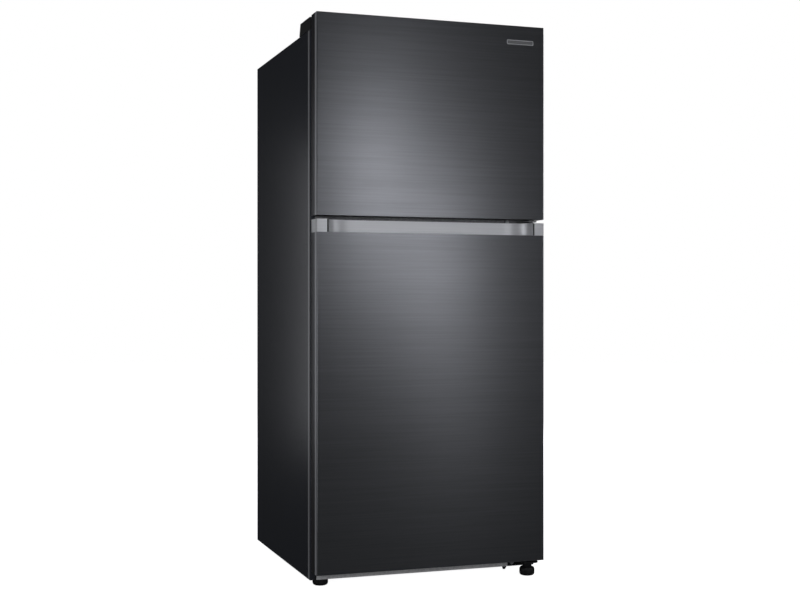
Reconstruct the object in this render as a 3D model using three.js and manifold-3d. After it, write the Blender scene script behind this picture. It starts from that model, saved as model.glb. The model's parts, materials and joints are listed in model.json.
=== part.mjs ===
// Top freezer refrigerator, 29 inch class, right-hand hinges, frost-free with one evaporator.
// Millimetres. Origin on the floor under the middle of the body; +X right, +Y back, +Z up.
import * as THREE from 'three';
import { mergeVertices } from 'three/addons/utils/BufferGeometryUtils.js';
import Module from 'manifold-3d';

const wasm = await Module();
wasm.setup();

// ---------------------------------------------------------------- driving dimensions
const WIDTH = 730;
const DEPTH = 780;
const HEIGHT = 1698;
const GAP = 0.3; // kept between pieces that touch
const SHEET = 1; // steel sheet
const HALF = WIDTH / 2;
const REAR = DEPTH / 2;

// cabinet shell
const CABINET_FRONT = -315;
const CABINET_TOP = 1659.5;
const SIDE_BOTTOM = 20;
const WRAP_REAR = REAR - 2;
const FLANGE = 15; // front return of the wrap
const COVER_TOP = HEIGHT - 1;

// doors
const DOOR_FRONT = -REAR + 1;
const DOOR_BACK = -328;
const DOOR_CORNER = 6;
const FREEZER_DOOR = { bottom: 1103, top: HEIGHT };
const FRIDGE_DOOR = { bottom: 47.8, top: 1092.2 };
const SKIN_TOP = 1053.7; // the fridge door's skin ends here, under its handle cap
const HINGE = { x: 335, y: -359, pin: 5 };
const PIN_HOLE = HINGE.pin + 0.3;
const GASKET = { outer: 333, width: 14 };

// compartments: half width, floor, ceiling and rear wall of each liner's inside
const FREEZER = { half: 305, floor: 1127, ceiling: 1600, rear: 325 };
const FRIDGE = { half: 315, floor: 112, ceiling: 1067, rear: 340 };
const LINER = 2;
const STEP = { y: 170, slopeStart: 250, slopeEnd: 300, depth: 45 }; // liner step over the machine room
const RAIL = { bottom: 1082, top: 1112, depth: 25 }; // centre rail between the two door openings

// each door's lamp and fan switch has a plunger in the left front flange, outside the gasket
const SWITCH = { x: -341, radius: 3.5, length: 27, freezer: 1600, fridge: 1030 };

// machine room, at the rear under the step
const ROOM = { front: 218, ceiling: 257, tray: 42 };
const DECK = 58;

// running gear
const ROLLER = { x: 296, y: 330, radius: 20, width: 22, axle: 4 };
const FOOT = { radius: 23.5, height: 27, stem: 5 };
const LEFT_FOOT = { x: -326, y: -288 };
const RIGHT_FOOT = { x: 320, y: -360 };

// ---------------------------------------------------------------- materials
const finish = (color, roughness, metalness = 0, extra = {}) =>
  new THREE.MeshStandardMaterial({ color, roughness, metalness, ...extra });
const BLACK_STEEL = finish(0x4a4b4f, 0.35, 0.9);
const SIDE_PAINT = finish(0x37383b, 0.45, 0.2);
const GALVANISED = finish(0xa9abae, 0.45, 0.8);
const SATIN_SILVER = finish(0xb4b6ba, 0.3, 0.7);
const BLACK_PLASTIC = finish(0x16171a, 0.5);
const BLACK_METAL = finish(0x1b1c1f, 0.45, 0.5);
const WHITE_PLASTIC = finish(0xeceef0, 0.4);
const CLEAR = finish(0xdfeaf0, 0.12, 0, { transparent: true, opacity: 0.4 });
const FROSTED = finish(0xf6f4ea, 0.35);
const FOAM = finish(0xe3cf94, 0.9);
const RUBBER = finish(0x2c2d30, 0.7);
const COPPER = finish(0xb87345, 0.35, 0.9);
const ALUMINIUM = finish(0xc4c6c8, 0.4, 0.9);
const GREY_PLASTIC = finish(0x7d8084, 0.5);

// ---------------------------------------------------------------- solids
// A closed geometry becomes a solid that can be joined and cut.
function solid(geometry) {
  const bare = geometry.clone();
  bare.deleteAttribute('normal');
  bare.deleteAttribute('uv');
  const merged = mergeVertices(bare, 1e-4);
  return new wasm.Manifold(new wasm.Mesh({
    numProp: 3,
    vertProperties: Float32Array.from(merged.attributes.position.array),
    triVerts: Uint32Array.from(merged.index.array),
  }));
}

const join = (first, ...others) => others.reduce((sum, other) => sum.add(other), first);
const cut = (first, ...others) => others.reduce((rest, other) => rest.subtract(other), first);

function box([x0, x1], [y0, y1], [z0, z1]) {
  const geometry = new THREE.BoxGeometry(x1 - x0, y1 - y0, z1 - z0);
  return solid(geometry.translate((x0 + x1) / 2, (y0 + y1) / 2, (z0 + z1) / 2));
}

function cylinder(axis, radius, [a, b], [from, to], sides = 24) {
  const geometry = new THREE.CylinderGeometry(radius, radius, to - from, sides);
  const middle = (from + to) / 2;
  if (axis === 'x') geometry.rotateZ(Math.PI / 2).translate(middle, a, b);
  if (axis === 'y') geometry.translate(a, middle, b);
  if (axis === 'z') geometry.rotateX(Math.PI / 2).translate(a, b, middle);
  return solid(geometry);
}

// Upright prism on an outline in plan.
function plan(shape, [z0, z1], curveSegments = 6) {
  const options = { depth: z1 - z0, bevelEnabled: false, curveSegments };
  return solid(new THREE.ExtrudeGeometry(shape, options).translate(0, 0, z0));
}

// Prism across the width, on an outline seen from the side: points are [y, z].
function profile(points, [x0, x1]) {
  const shape = new THREE.Shape(points.map(([y, z]) => new THREE.Vector2(y, z)));
  const geometry = new THREE.ExtrudeGeometry(shape, { depth: x1 - x0, bevelEnabled: false });
  const turn = new THREE.Matrix4().makeBasis(
    new THREE.Vector3(0, 1, 0), new THREE.Vector3(0, 0, 1), new THREE.Vector3(1, 0, 0),
  );
  return solid(geometry.applyMatrix4(turn).translate(x0, 0, 0));
}

function roundedShape([x0, x1], [y0, y1], radius) {
  const shape = new THREE.Shape();
  const quarter = Math.PI / 2;
  shape.absarc(x1 - radius, y0 + radius, radius, -quarter, 0);
  shape.absarc(x1 - radius, y1 - radius, radius, 0, quarter);
  shape.absarc(x0 + radius, y1 - radius, radius, quarter, 2 * quarter);
  shape.absarc(x0 + radius, y0 + radius, radius, 2 * quarter, 3 * quarter);
  return shape;
}

// Box open at the top, with one wall thickness.
function tub([x0, x1], [y0, y1], [z0, z1], wall) {
  return cut(
    box([x0, x1], [y0, y1], [z0, z1]),
    box([x0 + wall, x1 - wall], [y0 + wall, y1 - wall], [z0 + wall, z1 + 1]),
  );
}

// Rectangular ring in a plane that faces the front.
function frontRing(half, width, [y0, y1], [z0, z1]) {
  return cut(
    box([-half, half], [y0, y1], [z0, z1]),
    box([-half + width, half - width], [y0 - 1, y1 + 1], [z0 + width, z1 - width]),
  );
}

// Round tube along a smooth curve through the points.
function tube(points, radius, steps, sides = 8) {
  const path = new THREE.CatmullRomCurve3(points.map((p) => new THREE.Vector3(...p)));
  const section = new THREE.Shape();
  section.absarc(0, 0, radius, 0, 2 * Math.PI);
  const options = { extrudePath: path, steps, curveSegments: sides / 2 };
  return solid(new THREE.ExtrudeGeometry(section, options));
}

// Hub and pitched blades that spin about X, centred on the origin.
function fanWheel(outer, hub, thickness, blades, bore) {
  const pieces = Array.from({ length: blades }, (_, i) => {
    const span = outer - hub + 3;
    const blade = new THREE.BoxGeometry(2, outer * 0.62, span);
    blade.rotateZ(0.45).translate(0, 0, hub - 3 + span / 2);
    return solid(blade.rotateX((i * 2 * Math.PI) / blades));
  });
  const slab = [-thickness / 2, thickness / 2];
  const rim = cylinder('x', outer, [0, 0], slab, 32);
  return cut(
    join(cylinder('x', hub, [0, 0], slab), ...pieces).intersect(rim),
    cylinder('x', bore, [0, 0], [-thickness, thickness], 12),
  );
}

const refrigerator = new THREE.Group();
refrigerator.name = 'top_freezer_refrigerator';

function add(name, shape, material) {
  const { vertProperties, triVerts } = shape.getMesh();
  const geometry = new THREE.BufferGeometry();
  geometry.setAttribute('position', new THREE.BufferAttribute(Float32Array.from(vertProperties), 3));
  geometry.setIndex(Array.from(triVerts));
  geometry.computeVertexNormals();
  const mesh = new THREE.Mesh(geometry, material);
  mesh.name = name;
  refrigerator.add(mesh);
}

// ---------------------------------------------------------------- cabinet shell
const INSIDE = [-HALF + SHEET + GAP, HALF - SHEET - GAP]; // between the side panels

function linerOutside(room, grow) {
  const half = room.half + LINER + grow;
  const [low, high] = [room.floor - LINER - grow, room.ceiling + LINER + grow];
  return box([-half, half], [CABINET_FRONT, room.rear + LINER + grow], [low, high]);
}

// The fridge liner steps over the machine room: this wedge is left out of its lower rear corner.
function stepWedge(grow) {
  const offset = LINER + grow;
  const y = STEP.y + offset;
  const far = FRIDGE.rear + 50;
  return profile([
    [y, -10], [far, -10], [far, STEP.slopeEnd - offset],
    [STEP.y + STEP.depth + offset / 2, STEP.slopeEnd - offset],
    [y, STEP.slopeStart - offset / 2],
  ], [-HALF, HALF]);
}

function liner(room, flange, wedged) {
  const inside = box(
    [-room.half, room.half], [CABINET_FRONT - 1, room.rear], [room.floor, room.ceiling],
  );
  const outside = linerOutside(room, 0);
  const shell = cut(
    wedged ? cut(outside, stepWedge(0)) : outside,
    wedged ? cut(inside, stepWedge(-LINER)) : inside,
  );
  const reach = HALF - FLANGE - GAP;
  const rim = cut(
    box([-reach, reach], [CABINET_FRONT, CABINET_FRONT + LINER], flange),
    inside,
  );
  return join(shell, rim);
}

function cabinetShell() {
  const wrap = cut(
    box([-HALF, HALF], [CABINET_FRONT, WRAP_REAR], [SIDE_BOTTOM, CABINET_TOP]),
    box(
      [-HALF + SHEET, HALF - SHEET],
      [CABINET_FRONT + SHEET, WRAP_REAR + 1],
      [SIDE_BOTTOM - 1, CABINET_TOP - SHEET],
    ),
    box(
      [-HALF + FLANGE, HALF - FLANGE],
      [CABINET_FRONT - 1, CABINET_FRONT + 2 * SHEET],
      [SIDE_BOTTOM - 1, CABINET_TOP - FLANGE],
    ),
  );
  add('cabinet_wrap', wrap, SIDE_PAINT);

  const panelBottom = ROOM.ceiling + 1.6;
  const ceiling = CABINET_TOP - SHEET - GAP;
  add('back_panel', box(INSIDE, [WRAP_REAR - SHEET, WRAP_REAR], [panelBottom, ceiling]), GALVANISED);

  const chamfer = 21;
  const deck = profile([
    [CABINET_FRONT + 1.5, DECK], [ROOM.front, DECK],
    [ROOM.front, ROOM.ceiling - chamfer + 0.6], [ROOM.front + chamfer - 0.6, ROOM.ceiling],
    [REAR - 4, ROOM.ceiling], [REAR - 4, ROOM.ceiling + SHEET],
    [ROOM.front + chamfer - 1, ROOM.ceiling + SHEET],
    [ROOM.front - SHEET, ROOM.ceiling - chamfer + 1],
    [ROOM.front - SHEET, DECK + SHEET], [CABINET_FRONT + 1.5, DECK + SHEET],
  ], INSIDE);
  add('bottom_deck', deck, GALVANISED);

  const foamFront = CABINET_FRONT + LINER + GAP;
  const foamBlock = profile([
    [foamFront, DECK + SHEET + GAP], [ROOM.front - SHEET - GAP, DECK + SHEET + GAP],
    [ROOM.front - SHEET - GAP, ROOM.ceiling - chamfer + 1.2],
    [ROOM.front + chamfer - 1.2, ROOM.ceiling + SHEET + GAP],
    [WRAP_REAR - SHEET - GAP, ROOM.ceiling + SHEET + GAP],
    [WRAP_REAR - SHEET - GAP, ceiling], [foamFront, ceiling],
  ], INSIDE);
  const railPocket = box(
    [-HALF + FLANGE, HALF - FLANGE],
    [CABINET_FRONT, CABINET_FRONT + RAIL.depth + GAP],
    [RAIL.bottom, RAIL.top],
  );
  const foam = cut(
    foamBlock,
    cut(linerOutside(FRIDGE, GAP), stepWedge(GAP)),
    linerOutside(FREEZER, GAP),
    railPocket,
    switchHole(SWITCH.freezer),
    switchHole(SWITCH.fridge),
  );
  add('cabinet_foam', foam, FOAM);
}

function switchHole(z) {
  const far = CABINET_FRONT + SWITCH.length;
  return cylinder('y', SWITCH.radius + 0.4, [SWITCH.x, z], [CABINET_FRONT - 1, far], 16);
}

function liners() {
  const freezer = cut(
    liner(FREEZER, [RAIL.top + GAP, CABINET_TOP - FLANGE - GAP], false),
    switchHole(SWITCH.freezer),
  );
  const fridge = cut(
    liner(FRIDGE, [DECK + SHEET + GAP, RAIL.bottom - GAP], true),
    switchHole(SWITCH.fridge),
  );
  add('freezer_liner', freezer, WHITE_PLASTIC);
  add('fridge_liner', fridge, WHITE_PLASTIC);
}

function rails() {
  const reach = HALF - FLANGE - GAP;
  const face = CABINET_FRONT + 2;
  const [low, high] = [RAIL.bottom + GAP, RAIL.top - GAP];
  const centre = cut(
    box([-reach, reach], [face, face + RAIL.depth - 3], [low, high]),
    box([-reach - 1, reach + 1], [face + 1.5, face + RAIL.depth], [low + 1.5, high - 1.5]),
  );
  add('centre_rail', centre, BLACK_METAL);

  const x = [-HALF + 20, HALF - FLANGE - GAP];
  const top = DECK - 0.5;
  const base = join(
    box(x, [CABINET_FRONT, CABINET_FRONT + 1.5], [SIDE_BOTTOM + GAP, top]),
    box(x, [CABINET_FRONT, CABINET_FRONT + 40], [top - 1.5, top]),
  );
  add('base_rail', base, GALVANISED);
}

// ---------------------------------------------------------------- hinges and feet
// The freezer door's top rear corner is notched for this hinge's arm.
const ARM = { bottom: 1684, thickness: 4, left: 319, right: 341 };
const NOTCH = { left: 303, floor: 1676.3, front: -387.9 };

function topHinge() {
  const foot = CABINET_TOP + GAP;
  const pinHead = 8;
  const hinge = join(
    box([300, 352], [-300, -215], [foot, foot + 4]),
    box([306, 346], [-300, -288], [foot, ARM.bottom + ARM.thickness]),
    box([ARM.left, ARM.right], [HINGE.y, -290], [ARM.bottom, ARM.bottom + ARM.thickness]),
    cylinder('z', pinHead, [HINGE.x, HINGE.y], [ARM.bottom, ARM.bottom + ARM.thickness]),
    cylinder('z', HINGE.pin, [HINGE.x, HINGE.y], [1666, ARM.bottom + 1]),
  );
  add('top_hinge', hinge, BLACK_METAL);

  const wall = 2.5;
  const bottom = CABINET_TOP + GAP;
  const [front, rearTop, rearBottom] = [-313, -202, -189];
  const shell = cut(
    profile([
      [front, bottom], [rearBottom, bottom], [rearTop, COVER_TOP], [front, COVER_TOP],
    ], [-HALF, HALF]),
    profile([
      [front + wall, bottom - 1], [rearBottom - wall - 1, bottom - 1],
      [rearTop - wall, COVER_TOP - wall], [front + wall, COVER_TOP - wall],
    ], [-HALF + wall, HALF - wall]),
    box(
      [ARM.left - 1, ARM.right + 1], [front - 1, front + wall + 1],
      [ARM.bottom - 1, ARM.bottom + ARM.thickness + 1],
    ),
  );
  add('top_hinge_cover', shell, BLACK_PLASTIC);
}

function middleHinge() {
  const flangeFront = CABINET_FRONT - 1.2;
  const [low, high] = [1096, 1099.5];
  const tongue = new THREE.Shape();
  tongue.moveTo(348, CABINET_FRONT + 1.7);
  tongue.lineTo(303, CABINET_FRONT + 1.7);
  tongue.lineTo(318, HINGE.y);
  tongue.absarc(HINGE.x, HINGE.y, 17, Math.PI, 2 * Math.PI);
  const hinge = join(
    box([255, 349], [flangeFront, CABINET_FRONT + 1.7], [1086, 1108]),
    plan(tongue, [low, high], 8),
    cylinder('z', HINGE.pin, [HINGE.x, HINGE.y], [1073, 1125]),
    cylinder('y', 8, [270, 1097], [flangeFront - 4, flangeFront + 1], 6),
  );
  add('middle_hinge', hinge, BLACK_METAL);
}

function bottomHinge() {
  const plate = [38, 42];
  const bore = cylinder('z', FOOT.stem + 0.4, [RIGHT_FOOT.x, RIGHT_FOOT.y], [20, 50], 16);
  const flangeBack = CABINET_FRONT - GAP;
  const tongue = new THREE.Shape();
  tongue.moveTo(354, flangeBack);
  tongue.lineTo(300, flangeBack);
  tongue.lineTo(300, HINGE.y - 4);
  tongue.absarc(316, HINGE.y - 4, 16, Math.PI, 1.5 * Math.PI);
  tongue.absarc(338, HINGE.y - 4, 16, 1.5 * Math.PI, 2 * Math.PI);
  const boss = new THREE.LatheGeometry([
    [0, FOOT.height + GAP], [14, FOOT.height + GAP], [16, plate[0] + 1], [0, plate[0] + 1],
  ].map(([r, z]) => new THREE.Vector2(r, z)), 24);
  boss.rotateX(Math.PI / 2).translate(RIGHT_FOOT.x, RIGHT_FOOT.y, 0);
  const hinge = cut(
    join(
      box([274, 350], [flangeBack - 3, flangeBack], [22, 46]),
      plan(tongue, plate, 6),
      solid(boss),
      cylinder('z', HINGE.pin, [HINGE.x, HINGE.y], [plate[0], 74]),
      cylinder('y', 7.5, [285.5, 34], [flangeBack - 7, flangeBack - 2], 6),
    ),
    bore,
  );
  add('bottom_hinge', hinge, BLACK_METAL);
}

function leftFootBracket() {
  const { x, y } = LEFT_FOOT;
  const top = DECK - 2.3;
  const bracket = cut(
    join(
      box([x - 26, x + 26], [y - 23, y + 26], [top - 4, top]),
      cylinder('z', 15, [x, y], [FOOT.height + GAP, top]),
      box([-HALF + 1.5, -HALF + 19.5], [CABINET_FRONT + 1.3, CABINET_FRONT + 16], [22, top]),
      box([-HALF + 1.5, x], [CABINET_FRONT + 5, CABINET_FRONT + 16], [top - 4, top]),
    ),
    cylinder('z', FOOT.stem + 0.4, [x, y], [20, 60], 16),
  );
  add('foot_bracket_left', bracket, BLACK_METAL);
}

function foot(name, { x, y }, stemTop) {
  const { radius, height, stem } = FOOT;
  const outline = [
    [0, 0], [radius - 5, 0], [radius - 1.5, 3], [radius, 8], [radius, height - 7],
    [radius - 2, height - 3], [radius - 6, height], [stem, height], [stem, stemTop], [0, stemTop],
  ];
  const lathe = new THREE.LatheGeometry(outline.map(([r, z]) => new THREE.Vector2(r, z)), 28);
  add(name, solid(lathe.rotateX(Math.PI / 2).translate(x, y, 0)), BLACK_PLASTIC);
}

// ---------------------------------------------------------------- doors
const DOOR_X = [-HALF, HALF];
const CORE_BACK = DOOR_BACK - 2 - GAP;
const HEM = 19; // the skin's side returns wrap this far onto the door's back

function doorPlan(inset, z, back = DOOR_BACK - inset) {
  const x = [-HALF + inset, HALF - inset];
  return plan(roundedShape(x, [DOOR_FRONT + inset, back], DOOR_CORNER - inset), z, 4);
}

function doorSkin([z0, z1]) {
  return cut(
    doorPlan(0, [z0, z1]),
    doorPlan(SHEET, [z0 - 1, z1 + 1]),
    box([-HALF + HEM, HALF - HEM], [DOOR_BACK - 2, DOOR_BACK + 1], [z0 - 1, z1 + 1]),
  );
}

// Whatever fills the skin: the core, caps and foam.
const core = (z) => doorPlan(SHEET + GAP, z, CORE_BACK);

const hingeHole = (z) => cylinder('z', PIN_HOLE, [HINGE.x, HINGE.y], z);
const HINGE_BLOCK = { left: 309, right: 361, front: -385, back: -334 };

// Solid block that carries a door's hinge pin, on its lower cap.
function hingeBlock([low, high], grow = 0) {
  const { left, right, front, back } = HINGE_BLOCK;
  return box([left - grow, right + grow], [front - grow, back + grow], [low, high + grow]);
}

// Inner panel: a sheet with a raised dike that stands in the doorway.
function doorLiner([z0, z1], dikeHalf, dike) {
  const half = HALF - HEM - GAP;
  return join(
    box([-half, half], [DOOR_BACK - 2, DOOR_BACK], [z0, z1]),
    frontRing(dikeHalf, 16, [DOOR_BACK - 1, DOOR_BACK + 26], dike),
  );
}

function doorGasket(z) {
  return frontRing(GASKET.outer, GASKET.width, [DOOR_BACK + GAP, CABINET_FRONT - GAP], z);
}

const GRIP = { half: 328, sweep: 85, depth: 45, lip: 13, slot: 5 };
const FINGER_POCKET = { half: 248, height: 34, wall: 4 };

// Housing of the pocket in the freezer door's lower edge, over the grip.
function fingerHousing(bottom, grow = 0) {
  const { half, height, wall } = FINGER_POCKET;
  const reach = half + wall + grow;
  return box(
    [-reach, reach],
    [DOOR_FRONT + 8 - grow, DOOR_FRONT + GRIP.depth + wall + grow],
    [bottom, bottom + height + wall + grow],
  );
}

// Plan of the finger recess: straight back wall with elliptical ends, open to the front.
function gripShape(half, depth) {
  const shape = new THREE.Shape();
  const back = DOOR_FRONT + depth;
  shape.moveTo(-half, DOOR_FRONT - 2);
  shape.lineTo(half, DOOR_FRONT - 2);
  shape.lineTo(half, DOOR_FRONT);
  shape.absellipse(half - GRIP.sweep, DOOR_FRONT, GRIP.sweep, depth, 0, Math.PI / 2);
  shape.lineTo(-half + GRIP.sweep, back);
  shape.absellipse(-half + GRIP.sweep, DOOR_FRONT, GRIP.sweep, depth, Math.PI / 2, Math.PI);
  return shape;
}

function bin(name, half, [z0, z1]) {
  const y = [DOOR_BACK + 0.8, -237];
  const wall = 3;
  const front = 18; // the side toward the room is lower than the one toward the door
  const rail = box([-half, half], [y[1] - wall, y[1]], [z1 - front, z1]);
  const low = cut(tub([-half, half], y, [z0, z1], wall), rail);
  add(name, low, CLEAR);
}

function freezerDoor() {
  const { bottom, top } = FREEZER_DOOR;
  const notch = box([NOTCH.left, HALF + 1], [NOTCH.front, DOOR_BACK + 8], [NOTCH.floor, top + 1]);
  add('freezer_door_skin', cut(doorSkin([bottom, top]), notch), BLACK_STEEL);

  const plate = 12;
  const block = { left: NOTCH.left - 8, bottom: 1664 };
  const topCap = cut(
    join(core([top - plate, top]), core([block.bottom, top]).intersect(
      box([block.left, HALF], [DOOR_FRONT, DOOR_BACK], [block.bottom, top]),
    )),
    notch,
    hingeHole([block.bottom - 1, top]),
  );
  add('freezer_door_top_cap', topCap, BLACK_PLASTIC);

  const lowerBlock = [bottom, bottom + 30];
  const bottomCap = cut(
    join(core([bottom, bottom + plate]), fingerHousing(bottom), hingeBlock(lowerBlock)),
    box(
      [-FINGER_POCKET.half, FINGER_POCKET.half],
      [DOOR_FRONT + GRIP.lip, DOOR_FRONT + GRIP.depth],
      [bottom - 1, bottom + FINGER_POCKET.height],
    ),
    hingeHole([bottom - 1, bottom + 26]),
  );
  add('freezer_door_bottom_cap', bottomCap, BLACK_PLASTIC);

  const foam = cut(
    core([bottom + plate + GAP, top - plate - GAP]),
    fingerHousing(bottom, GAP),
    hingeBlock(lowerBlock, GAP),
    box([block.left - GAP, HALF], [DOOR_FRONT, DOOR_BACK + 1], [block.bottom - GAP, top]),
  );
  add('freezer_door_foam', foam, FOAM);

  const dikeHalf = FREEZER.half - 9;
  const dike = [FREEZER.floor + 9, FREEZER.ceiling - 9];
  const panel = cut(doorLiner([bottom + 3, top - 3], dikeHalf, dike), notch);
  add('freezer_door_liner', panel, WHITE_PLASTIC);
  add('freezer_door_gasket', doorGasket([1112, 1640]), RUBBER);

  const binHalf = dikeHalf - 16.5;
  bin('freezer_bin_lower', binHalf, [1162, 1252]);
  bin('freezer_bin_upper', binHalf, [1374, 1454]);

  const badge = box([240, 328], [-REAR, DOOR_FRONT - GAP], [1640, 1654]);
  add('badge', badge, SATIN_SILVER);
}

function fridgeDoor() {
  const { bottom, top } = FRIDGE_DOOR;
  add('fridge_door_skin', doorSkin([bottom, SKIN_TOP - GAP]), BLACK_STEEL);

  const capBottom = 1022;
  const linerTop = top - 7;
  const pocket = plan(gripShape(GRIP.half, GRIP.depth), [SKIN_TOP, top + 1], 10);
  const well = cut(
    plan(gripShape(GRIP.half - 40, GRIP.depth), [capBottom + 8, top + 1], 10),
    box([-HALF, HALF], [DOOR_FRONT - 3, DOOR_FRONT + GRIP.lip], [capBottom, SKIN_TOP]),
  );
  const slotX = GRIP.half + GRIP.slot / 2;
  const slots = [-slotX, slotX].map((x) => box(
    [x - GRIP.slot / 2, x + GRIP.slot / 2], [DOOR_FRONT - 1, DOOR_FRONT + 8], [SKIN_TOP, top + 1],
  ));
  const handleCap = cut(
    join(doorPlan(0, [SKIN_TOP, top]), core([capBottom, SKIN_TOP + 1])),
    box([-HALF + HEM, HALF - HEM], [CORE_BACK, DOOR_BACK + 1], [capBottom - 1, linerTop + GAP]),
    pocket,
    well,
    ...slots,
    hingeHole([top - 22, top + 1]),
  );
  add('handle_cap', handleCap, SATIN_SILVER);

  const plate = 12;
  const lowerBlock = [bottom, bottom + 32];
  const bottomCap = cut(
    join(core([bottom, bottom + plate]), hingeBlock(lowerBlock)),
    hingeHole([bottom - 1, bottom + 28]),
  );
  add('fridge_door_bottom_cap', bottomCap, BLACK_PLASTIC);

  const foam = cut(
    core([bottom + plate + GAP, capBottom - GAP]),
    hingeBlock(lowerBlock, GAP),
  );
  add('fridge_door_foam', foam, FOAM);

  const dikeHalf = FRIDGE.half - 10;
  const dike = [FRIDGE.floor + 9, FRIDGE.ceiling - 9];
  add('fridge_door_liner', doorLiner([bottom + 3, linerTop], dikeHalf, dike), WHITE_PLASTIC);
  add('fridge_door_gasket', doorGasket([90, 1082]), RUBBER);

  const binHalf = dikeHalf - 16.5;
  bin('fridge_bin_lower', binHalf, [150, 270]);
  bin('fridge_bin_middle', binHalf, [490, 590]);
  bin('fridge_bin_upper', binHalf, [790, 870]);
}

// ---------------------------------------------------------------- inside the compartments
function shelf(name, half, [y0, y1], z) {
  const rim = 14;
  const glass = 4;
  const frame = cut(
    box([-half, half], [y0, y1], [z, z + rim]),
    box([-half + rim, half - rim], [y0 + rim, y1 - rim], [z - 1, z + rim - 3 - glass]),
    box([-half + rim, half - rim], [y0 + rim, y1 - rim], [z + rim - 3, z + rim + 1]),
  );
  add(name, frame, CLEAR);
}

function crisper(name, [x0, x1]) {
  const y = [-150, 164];
  const z = [116, 346];
  const wall = 3;
  const grip = box([x0 + 60, x1 - 60], [y[0] - 1, y[0] + 9], [z[1] - 34, z[1] - 12]);
  const body = join(
    tub([x0, x1], y, z, wall),
    box([x0, x1], [y[0], y[0] + 12], z),
  );
  add(name, cut(body, grip), CLEAR);
}

function coldSideParts() {
  const { half, floor, ceiling, rear } = FREEZER;
  const fanZ = 1460;
  const coverFront = 240;
  const slots = [];
  for (let row = -3; row <= 3; row += 1) {
    slots.push(box([-48, 48], [230, 260], [fanZ + row * 14 - 3.5, fanZ + row * 14 + 3.5]));
  }
  for (let column = -4; column <= 4; column += 1) {
    slots.push(box([column * 52 - 18, column * 52 + 18], [230, 260], [floor + 12, floor + 22]));
  }
  const cover = cut(
    box([-half + 0.4, half - 0.4], [coverFront, coverFront + 4], [floor + 0.4, ceiling - 0.4]),
    ...slots,
  );
  add('evaporator_cover', cover, WHITE_PLASTIC);

  const tubes = [1180, 1240, 1300].map((z) => cylinder('x', 5, [284, z], [-218, 218], 8));
  const fins = Array.from({ length: 9 }, (_, i) => {
    const x = -200 + i * 50;
    return box([x - 1, x + 1], [258, 310], [1150, 1330]);
  });
  const bends = [[210, 1180, 1240], [-220, 1240, 1300]].map(
    ([x, z0, z1]) => box([x, x + 10], [279, 289], [z0 - 5, z1 + 5]),
  );
  add('evaporator', join(tubes[0], tubes[1], tubes[2], ...fins, ...bends), ALUMINIUM);

  const motor = join(
    box([-70, 70], [rear - 6, rear - 0.4], [fanZ - 60, fanZ + 60]),
    cylinder('y', 24, [0, fanZ], [284, rear - 5], 20),
    cylinder('y', 2.5, [0, fanZ], [256, 285], 12),
  );
  add('evaporator_fan_motor', motor, GREY_PLASTIC);

  const wheel = fanWheel(54, 14, 16, 4, 2.8);
  add('evaporator_fan_blade', wheel.rotate([0, 0, 90]).translate([0, 264, fanZ]), WHITE_PLASTIC);

  shelf('freezer_shelf', half - 0.6, [-190, 234], 1348);

  const ductSlots = [420, 660, 900].map((z) => box([-40, 40], [300, 326], [z - 5, z + 5]));
  const duct = cut(
    box([-70, 70], [322, FRIDGE.rear - 0.4], [304, 1040]),
    box([-66, 66], [326, FRIDGE.rear - 4], [308, 1041]),
    ...ductSlots,
  );
  add('fridge_air_duct', duct, WHITE_PLASTIC);

  const panelBottom = 1042;
  const underPanel = [panelBottom - 12, panelBottom - GAP];
  const [dialX, dialY] = [100, -60];
  const panel = join(
    box([-140, 140], [-150, 30], [panelBottom, FRIDGE.ceiling - GAP]),
    cylinder('z', 3, [dialX, dialY], [underPanel[0], panelBottom + 1], 12),
  );
  add('control_panel', panel, WHITE_PLASTIC);
  add('fridge_lamp_lens', box([-100, 40], [-120, 0], underPanel), FROSTED);
  const dial = cut(
    join(
      cylinder('z', 20, [dialX, dialY], underPanel, 28),
      box([dialX - 2, dialX + 2], [dialY - 18, dialY + 18], [underPanel[0] - 6, underPanel[0] + 1]),
    ),
    cylinder('z', 3.3, [dialX, dialY], [underPanel[0] - 1, panelBottom + 1], 12),
  );
  add('temperature_dial', dial, GREY_PLASTIC);

  shelf('fridge_shelf_upper', FRIDGE.half - 0.6, [-192, 314], 800);
  shelf('fridge_shelf_lower', FRIDGE.half - 0.6, [-192, 314], 570);
  shelf('crisper_cover', FRIDGE.half - 0.6, [-192, 314], 352);
  crisper('crisper_left', [-312, -3]);
  crisper('crisper_right', [3, 312]);

  for (const [name, z] of [['freezer', SWITCH.freezer], ['fridge', SWITCH.fridge]]) {
    const reach = [DOOR_BACK + GAP, CABINET_FRONT + SWITCH.length - 4];
    const plunger = cylinder('y', SWITCH.radius, [SWITCH.x, z], reach, 16);
    add(`${name}_switch_plunger`, plunger, WHITE_PLASTIC);
  }
}

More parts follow.
